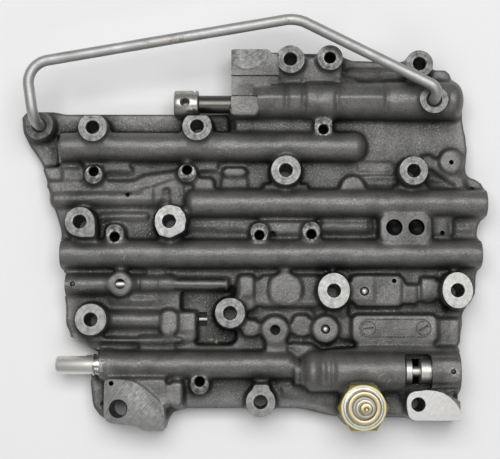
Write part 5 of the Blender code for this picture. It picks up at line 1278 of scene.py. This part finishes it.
# The oil tube: its centre line's corners and the radius of each bend, then places and radii of its rust
tube = {
    "radius": 3.18,
    "uneven": 0.006,
    "corners": ((-124.0, 59.5, 14.0), (-124.0, 59.5, 39.0), (-129.0, 91.6, 39.0), (26.8, 118.7, 39.0),
                (108.5, 77.6, 39.0), (107.0, 72.8, 33.2), (107.0, 72.8, 24.0)),
    "bends": (8.5, 13.0, 20.8, 5.8, 5.8),
    "rust": (((-44.5, 106.0, 42.0), 3.2), ((-39.5, 105.6, 41.6), 2.2), ((-60.0, 103.0, 42.0), 1.2),
             ((22.0, 117.0, 42.0), 1.1)),
}


def drawnTubeLook():
    # Cold drawn steel tube: satin, with faint lines along it, and a brown rust patch on its long run
    look, tree, shader, place, colour = workedMetal(
        "drawnTubeSteel", ("#AFAFAD", "#C8C8C6"), (0.62, 0.54), grain=(0.05, 2.2, 2.2), patchScale=0.07,
        contrast=0.3)
    for centre, radius in tube["rust"]:
        rust = addNode(tree, "Math", {0: spot(tree, place, centre, radius, 0.9, 2.6), 1: 0.55},
                       operation="MULTIPLY")
        colour = addNode(tree, "Mix", {0: rust, 6: colour, 7: "#8C735B"}, 2, data_type="RGBA")
    joinSockets(tree, shader, {"Base Color": colour})
    return look


def makeTube():
    spec = tube
    path = spread(roundedPath(spec["corners"], spec["bends"]))

    def radiusAt(i, here):
        # A drawn tube is never quite even
        return spec["radius"] * (1 - spec["uneven"] * (1 + math.sin(here.x * 1.7 + here.y * 1.3)))

    piece("oilTube", sweep(path, radiusAt, 32), looks["tube"], "casting", "oil_transfer_tube")


# The selector valve: radii of head, shaft and lands, where its head starts and ends, and where its lands lie
manual = {
    "y": 72.5, "z": 17.0, "head": 8.2, "shaft": 5.3, "land": 7.7,
    "front": -44.7, "back": -30.2, "groove": (-33.3, -32.1, 0.8), "crossHole": (-38.2, 2.4),
    "lands": ((-7.0, 9.0), (21.0, 35.0), (51.0, 61.6)), "end": 61.6,
}


def selectorLook():
    # Satin turned steel, bright on the head and the lands, and grey where the shaft runs in oil
    look, tree, shader, place, colour = workedMetal("satinTurnedSteel", ("#A29F9A", "#C9C6C1"), (0.42, 0.30), 1.0,
                                                    (6.0, 0.15, 0.15), 0.006, contrast=0.35)
    shaft = addNode(tree, "MapRange", {0: aboutAxis(tree, place, manual["y"]), 1: 6.1, 2: 5.7})
    joinSockets(tree, shader, {"Base Color": addNode(tree, "Mix", {0: shaft, 6: colour, 7: "#65635F"}, 2,
                                                     data_type="RGBA")})
    return look


def makeManualValve():
    spec = manual
    y, z, head, shaft, land = spec["y"], spec["z"], spec["head"], spec["shaft"], spec["land"]
    front, back = spec["front"], spec["back"]
    start, end, depth = spec["groove"]
    profile = [
        (front, head - 1.0), (front + 0.3, head - 0.45), (front + 1.0, head),
        (start - 0.15, head), (start, head - depth), (end, head - depth), (end + 0.15, head),
        (back - 0.9, head), (back - 0.3, head - 0.4), (back, head - 1.0), (back, shaft + 0.3), (back + 0.3, shaft),
    ]
    for low, high in spec["lands"]:
        profile += [(low, shaft), (low, land - 0.3), (low + 0.3, land)]
        for share in (0.35, 0.65):
            profile += oilGroove(low + (high - low) * share, land, 0.25, 0.3)
        profile += [(high - 0.3, land), (high, land - 0.3)]
        if high < spec["end"]:
            profile.append((high, shaft))
    holeX, hole = spec["crossHole"]
    outline = [(z - 10.0, hole), (z + head - 0.75, hole), (z + head + 0.6, hole + 1.2)]
    drill = lathe(outline, (holeX, y, 0.0), "Z", 48)
    piece("manualValve", lathe(profile, (0.0, y, z), segments=96), looks["satin"], "manual_valve",
          "manual_valve", cuts=(drill,))


# The throttle plunger in its sleeve, and the throttle valve behind it, with one spring between them
throttle = {
    "y": -80.6, "z": 16.0,
    # (x, radius) outlines of the plunger and of its sleeve, and the sleeve's bore
    "plunger": ((-112.2, 4.1), (-111.8, 4.75), (-111.0, 5.3), (-75.5, 5.3), (-75.1, 4.9), (-75.1, 3.4),
                (-60.6, 3.4), (-60.1, 2.9)),
    "sleeve": ((-90.7, 6.1), (-90.4, 6.5), (-89.5, 6.6), (-89.1, 6.15), (-88.4, 6.15), (-88.0, 6.6), (-66.8, 6.6)),
    "sleeveBore": 5.6,
    # the spring's two ends and where its halves meet, where the valve starts, its lands, stems, radii and bore
    "spring": (-59.8, -35.8, -46.0),
    "spool": -35.5,
    "lands": (9.0, 8.0),
    "stems": (11.0,),
    "radii": (4.6, 2.4),
    "bore": 4.9,
    # x, foot, top
    "sleevePin": (-65.0, 1.2, 11.9),
}


def makeThrottleLine():
    spec = throttle
    y, z, inner = spec["y"], spec["z"], spec["sleeveBore"]
    place = (0.0, y, z)
    piece("throttlePlunger", lathe(spec["plunger"], place, segments=80), looks["pale"], "throttle_plunger",
          "throttle_plunger")
    low, high = spec["sleeve"][0][0], spec["sleeve"][-1][0]
    outline = [*spec["sleeve"], (high, inner), (low + 0.3, inner), (low, inner + 0.3)]
    turns = [2 * math.pi * i / 72 for i in range(72)]
    rings = [[(x, y + radius * math.cos(a), z + radius * math.sin(a)) for x, radius in outline] for a in turns]
    piece("plungerSleeve", joinRings(rings, closedLoop=True), looks["bright"], "casting",
          "plunger_sleeve")
    spool = facingIn(spoolProfile(spec["lands"], spec["stems"], *spec["radii"]), spec["spool"], 1)
    piece("throttleValve", lathe(spool, place, segments=56), looks["ground"], "throttle_valve",
          "throttle_valve")
    # Both joints press on this spring. It is made in two halves that meet in the middle, each listed with the joint
    # at its own end, and both are fixed to the casting
    low, high, middle = spec["spring"]
    wire, turns = springs["wire"], springs["turns"] / 2
    coil = spec["bore"] - clearance - wire
    halves = {
        "Front": (low, middle + wire, 0.0, "throttle_plunger_slide", 8.0),
        "Back": (middle - wire, high, turns, "throttle_valve_slide", 4.0),
    }
    for half, (start, end, startTurn, joint, travel) in halves.items():
        skin = coilSkin(start, end, y, z, coil, turns, startTurn=startTurn)
        made = piece(f"throttleSpring{half}", skin, looks["wire"], "casting", "throttle_spring")
        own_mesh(made)
    x, foot, top = spec["sleevePin"]
    makePin("sleevePin", "sleeve_pin", x, y, foot, top)


# Six bores that hold the same kinds of pieces: mouth, way in, y, axis height, bore radius, lands, stems, stem
# radius, spring length, whether the spring comes first, pin from and to, travel
valveLines = {
    "shift": (-111.2, 1, 47.2, 16.0, 4.9, (10.0, 7.0, 12.0), (13.0, 11.0), 2.4, 22.0, True, (1.2, 22.4), 6.5),
    "accumulator": (138.4, -1, 13.7, 16.0, 4.9, (11.0, 11.0), (18.0,), 2.6, 28.0, True, (1.2, 22.4), 8.0),
    "pressure_regulator": (-110.4, 1, -16.1, 16.0, 4.9, (9.0, 8.0, 9.0), (12.0, 9.0), 2.4, 26.0, True, (1.2, 22.4),
                           7.0),
    "relay": (134.8, -1, -16.1, 16.0, 4.9, (12.0, 8.0), (12.0,), 2.4, 20.0, True, (1.2, 22.4), 6.0),
    "governor": (-107.6, 1, -33.8, 14.0, 3.4, (7.0, 6.0), (13.0,), 1.6, 14.0, True, (9.1, 19.5), 4.5),
    "timing": (120.4, -1, -84.2, 17.0, 7.6, (8.5, 3.6, 9.0), (4.9, 8.6), 3.0, 24.0, False, (7.9, 28.6), 6.0),
}

# Where the plug, the first piece behind it and the pin lie from the mouth, and the half width of the plug's slot
valveFit = {"plug": 6.1, "first": 13.9, "pin": 4.6, "slot": 0.6}


def makeValveLine(stem, line):
    mouth, into, y, z, bore, lands, stems, stemRadius, length, springFirst, pinSpan, travel = line
    name = stem.replace("pressure_regulator", "regulator")
    place = (0.0, y, z)
    loose = bore - clearance
    first, half, wire = valveFit["first"], valveFit["slot"], springs["wire"]
    spool = sum(lands) + sum(stems)
    springAt = first if springFirst else first + spool + clearance
    spoolAt = first + length + clearance if springFirst else first
    profile = facingIn(spoolProfile(lands, stems, loose, stemRadius), mouth + into * spoolAt, into)
    piece(f"{name}Spool", lathe(profile, place, segments=56), looks["ground"], f"{stem}_valve",
          f"{stem}_valve")
    plug = [(0.0, loose - 0.5), (0.5, loose), (3.0, loose), (3.2, loose - 0.6), (4.4, loose - 0.6), (4.6, loose),
            (7.1, loose), (7.5, loose - 0.4)]
    outer = mouth + into * valveFit["plug"]
    slot = block(outer - 1.0, outer + 1.0, y - bore - 1.0, y + bore + 1.0, z - half, z + half)
    piece(f"{name}Plug", lathe(facingIn(plug, outer, into), place, segments=56), looks["aluminium"], "casting",
          f"{stem}_plug", cuts=(slot,))
    near, far = sorted((mouth + into * springAt, mouth + into * (springAt + length)))
    skin = coilSkin(near, far, y, z, loose - wire, springs["turns"], springs["closed"])
    made = piece(f"{name}Spring", skin, looks["wire"], "casting", f"{stem}_spring")
    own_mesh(made)
    makePin(f"{name}Pin", f"{stem}_pin", mouth + into * valveFit["pin"], y, *pinSpan)


def makePin(name, node, x, y, low, high):
    # A cross pin with rounded ends
    radius = 1.2
    rounding = ((0.0, radius - 0.4), (0.15, radius - 0.15), (0.5, radius))
    profile = [(low + along, r) for along, r in rounding] + [(high - along, r) for along, r in rounding[::-1]]
    piece(name, lathe(profile, (x, y, 0.0), "Z", 32), looks["dark"], "casting", node)


# The pressure switch: its middle, its seat on the casting, the hexagon, then (height, radius) outlines
switch = {
    "x": 64.0, "y": -104.4, "seat": 25.5, "flats": 25.4, "hexTop": 33.0,
    "stud": ((14.5, 5.4), (15.1, 6.0), (17.0, 6.0), (17.3, 5.5), (18.2, 6.0), (18.5, 5.5), (19.4, 6.0),
             (19.7, 5.5), (20.6, 6.0), (20.9, 5.5), (21.8, 6.0), (22.1, 5.5), (23.4, 5.5), (24.0, 6.0)),
    "shell": ((33.0, 11.6), (33.75, 11.5), (34.0, 11.1), (34.0, 9.95), (33.8, 9.75), (33.95, 9.5), (38.0, 9.5),
              (38.4, 9.2), (38.5, 8.8), (38.5, 7.1), (38.4, 6.8), (38.0, 6.65)),
    "cupFloor": 33.5, "cup": 6.65,
    "insulator": ((33.8, 6.0), (33.8, 6.4), (36.9, 6.4), (37.2, 6.1), (37.3, 5.6)),
    "terminal": ((37.6, 4.9), (37.9, 5.2), (40.6, 5.2), (41.0, 4.8), (41.0, 3.1), (41.3, 2.9), (45.9, 2.9),
                 (46.2, 3.4), (46.6, 3.7), (49.0, 3.7), (49.45, 3.35), (49.6, 2.9), (49.6, 1.5), (49.3, 1.1),
                 (49.0, 0.3)),
}


def zincLook():
    # Plated steel: tan on the crimped lip, silver on the flange, and a yellow passivated tint out at the corners
    look, tree, shader, place, colour = workedMetal("yellowZincPlate", ("#B9B8B0", "#D6D5CD"), (0.40, 0.30), 0.9,
                                                    (0.7, 0.7, 0.7), 0.01)
    radius = aboutAxis(tree, place, switch["y"], switch["x"])
    for inner, outer, tint in ((9.6, 9.3, "#BBAF8F"), (11.7, 12.5, "#B5A965")):
        colour = addNode(tree, "Mix", {0: addNode(tree, "MapRange", {0: radius, 1: inner, 2: outer}), 6: colour,
                                       7: tint}, 2, data_type="RGBA")
    joinSockets(tree, shader, {"Base Color": colour})
    return look


def terminalLook():
    # Plated brass: a silver collar, with the tan stud on it
    look, tree, shader, place, colour = workedMetal("platedTerminal", ("#C9C8C2", "#E2E1DB"), (0.38, 0.28), 0.9,
                                                    (0.9, 0.9, 0.9), 0.004)
    stud = addNode(tree, "MapRange", {0: aboutAxis(tree, place, switch["y"], switch["x"]), 1: 4.2, 2: 4.0})
    joinSockets(tree, shader, {"Base Color": addNode(tree, "Mix", {0: stud, 6: colour, 7: "#B3A98A"}, 2,
                                                     data_type="RGBA")})
    return look


def hexSkin(spec, segments=144):
    # The hexagon with its corners turned off in arcs above and below
    half, low, high = spec["flats"] / 2, spec["seat"], spec["hexTop"]
    heights = [low + 0.25 * i for i in range(4)] + [(low + high) / 2] + [high - 1.2 + 0.15 * i for i in range(9)]
    rings = []
    for z in heights:
        most = half + 0.05 + min(z - low, high - z) * 1.8
        ring = []
        for i in range(segments):
            angle = 2 * math.pi * i / segments
            # How far round the point lies from the middle of its flat
            turn = (angle % (math.pi / 3)) - math.pi / 6
            radius = min(half / math.cos(turn), most)
            ring.append((spec["x"] + radius * math.cos(angle), spec["y"] + radius * math.sin(angle), z))
        rings.append(ring)
    return joinRings(rings)


def makeSwitch():
    spec = switch
    place = (spec["x"], spec["y"], 0.0)
    piece("switchHexagon", hexSkin(spec), looks["zinc"], "casting", "switch_body", smoothAngle=28)
    stud = list(spec["stud"]) + [(spec["seat"] + 0.1, 6.0)]
    piece("switchStud", lathe(stud, place, "Z", 64), looks["zinc"], "casting", "switch_body")
    cup = list(spec["shell"]) + [(spec["cupFloor"], spec["cup"]), (spec["cupFloor"], 0.2)]
    piece("switchShell", lathe([(32.9, 11.6)] + cup, place, "Z", 96), looks["zinc"], "casting",
          "switch_body", smoothAngle=50)
    piece("switchInsulator", lathe(spec["insulator"], place, "Z", 64), looks["resin"], "casting",
          "switch_insulator")
    piece("switchTerminal", lathe(spec["terminal"], place, "Z", 64), looks["brass"], "casting",
          "switch_terminal")


balls = {"radius": 2.4, "places": {"check_ball_left": (43.6, -60.0, 17.7), "check_ball_right": (66.4, -38.0, 17.7)}}


def makeBall(node, place):
    steps, radius = 24, balls["radius"]
    turns = [math.pi * (i + 0.5) / steps for i in range(steps)]
    skin = lathe([(-radius * math.cos(a), radius * math.sin(a)) for a in turns], place, "Z", 40)
    name = node.replace("check_ball_", "ball").replace("left", "Left").replace("right", "Right")
    piece(name, skin, looks["ground"], "casting", node, smoothAngle=60)


looks = {
    "tube": drawnTubeLook(),
    "zinc": zincLook(),
    "satin": selectorLook(),
    # Ground spool steel: bright and even, with lines a sixth of a millimetre apart round the lands
    "ground": workedMetal("groundSteel", ("#C2BFBA", "#DEDBD6"), (0.52, 0.42), 1.0, (6.0, 0.15, 0.15), 0.003,
                          contrast=0.3)[0],
    # Polished steel: sharp highlights on the sleeve's lip, with soft patches about 1 mm wide
    "bright": workedMetal("polishedSteel", ("#C4C2BE", "#DEDCD8"), (0.26, 0.18), 1.0, (0.8, 0.8, 0.8))[0],
    # Drawn spring wire: grey and satin, with specks a little under 1 mm
    "wire": workedMetal("drawnSpringWire", ("#8A8986", "#A9A8A5"), (0.42, 0.32), 1.0, (1.2, 1.2, 1.2))[0],
    # Turned aluminium: pale and cool, with turning lines a quarter of a millimetre apart
    "aluminium": workedMetal("turnedAluminium", ("#A5A7A9", "#C2C4C6"), (0.42, 0.32), 1.0, (4.0, 0.2, 0.2),
                             0.006)[0],
    # Moulded resin: chalky and matt, with a faint grain of 0.7 mm
    "resin": workedMetal("mouldedResin", ("#B9B7AE", "#CFCDC5"), (0.55, 0.42), 0.0, (1.5, 1.5, 1.5), 0.02)[0],
    "brass": terminalLook(),
    # Ground plunger steel: paler and more matt than the spools
    "pale": workedMetal("paleGroundSteel", ("#D9D7D2", "#EFEDE8"), (0.52, 0.42), 1.0, (6.0, 0.15, 0.15), 0.003,
                        contrast=0.3)[0],
    # Pin steel: painted shade makes it nearly black, with no sharp highlight, as the pins sit deep in their holes
    "dark": workedMetal("pinSteelPaintedShade", ("#353433", "#52504D"), (0.55, 0.42), 1.0, (1.0, 1.0, 1.0))[0],
}
nodeLooks = {
    "oil_transfer_tube": "tube", "switch_body": "zinc", "switch_insulator": "resin", "switch_terminal": "brass",
    "manual_valve": "satin", "plunger_sleeve": "bright", "check_ball_left": "ground", "check_ball_right": "ground",
}
kindLooks = {"spring": "wire", "plug": "aluminium", "pin": "dark", "valve": "ground", "plunger": "pale"}
for name, node in frame["nodes"].items():
    node.data.materials.clear()
    if name == "valve_body_casting":
        node.data.materials.append(body.data.materials[0])
    else:
        node.data.materials.append(looks[nodeLooks.get(name) or kindLooks[name.rsplit("_", 1)[-1]]])

makeTube()
makeManualValve()
makeThrottleLine()
for stem, line in valveLines.items():
    makeValveLine(stem, line)
makeSwitch()
for node, place in balls["places"].items():
    makeBall(node, place)
print("fitted pieces made")


# Studio: floor, lights and camera, in metres. The camera looks almost straight down
studio = {
    "floorSize": 6.0,
    "paleGrey": "#F8F8F8",
    "cameraDistance": 0.7,
    "cameraTilt": 6.0,
    "lens": 84.024,
    # place, width and depth, watts
    "lamps": {"overheadSoftbox": ((0.0, 0.22, 1.0), (0.9, 0.6), 7.3),
              "frontFill": ((0.1, -0.75, 0.85), (0.8, 0.4), 1.4)},
    "roomLight": 0.27,
}


def paleGround():
    # A floor that shows as the pale backdrop, but still takes the object's shadow
    half = studio["floorSize"] / 2
    floor = meshObject("floor", [(-half, -half, -0.0006), (half, -half, -0.0006), (half, half, -0.0006),
                                 (-half, half, -0.0006)], [(0, 1, 2, 3)])
    look = bpy.data.materials.new("paleBackdrop")
    look.use_nodes = True
    tree = look.node_tree
    shader = tree.nodes["Principled BSDF"]
    shader.inputs["Base Color"].default_value = hexColour(studio["paleGrey"])
    shader.inputs["Roughness"].default_value = 0.9
    shader.inputs["Specular IOR Level"].default_value = 0.1
    floor.data.materials.append(look)
    floor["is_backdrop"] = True
    return floor


paleGround()


def softbox(name, place, size, watts):
    # A rectangular lamp that points at the middle of the object
    lamp = bpy.data.lights.new(name, "AREA")
    lamp.shape = "RECTANGLE"
    lamp.size, lamp.size_y = size
    lamp.energy = watts
    made = bpy.data.objects.new(name, lamp)
    made.location = place
    made.rotation_euler = (-Vector(place)).to_track_quat("-Z", "Y").to_euler()
    bpy.context.scene.collection.objects.link(made)


for name, (place, size, watts) in studio["lamps"].items():
    softbox(name, place, size, watts)

world = bpy.data.worlds.new("paleRoom")
bpy.context.scene.world = world
world.use_nodes = True
background = world.node_tree.nodes["Background"]
background.inputs["Color"].default_value = (1, 1, 1, 1)
background.inputs["Strength"].default_value = studio["roomLight"]

camera = bpy.data.cameras.new("camera")
camera.sensor_width = 36
camera.lens = studio["lens"]
cameraObject = bpy.data.objects.new("camera", camera)
tilt = math.radians(studio["cameraTilt"])
cameraObject.location = (0, -studio["cameraDistance"] * math.sin(tilt), studio["cameraDistance"] * math.cos(tilt))
cameraObject.rotation_euler = (tilt, 0, 0)
bpy.context.scene.collection.objects.link(cameraObject)
bpy.context.scene.camera = cameraObject
bpy.context.scene.view_settings.view_transform = "Standard"

lowest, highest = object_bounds()
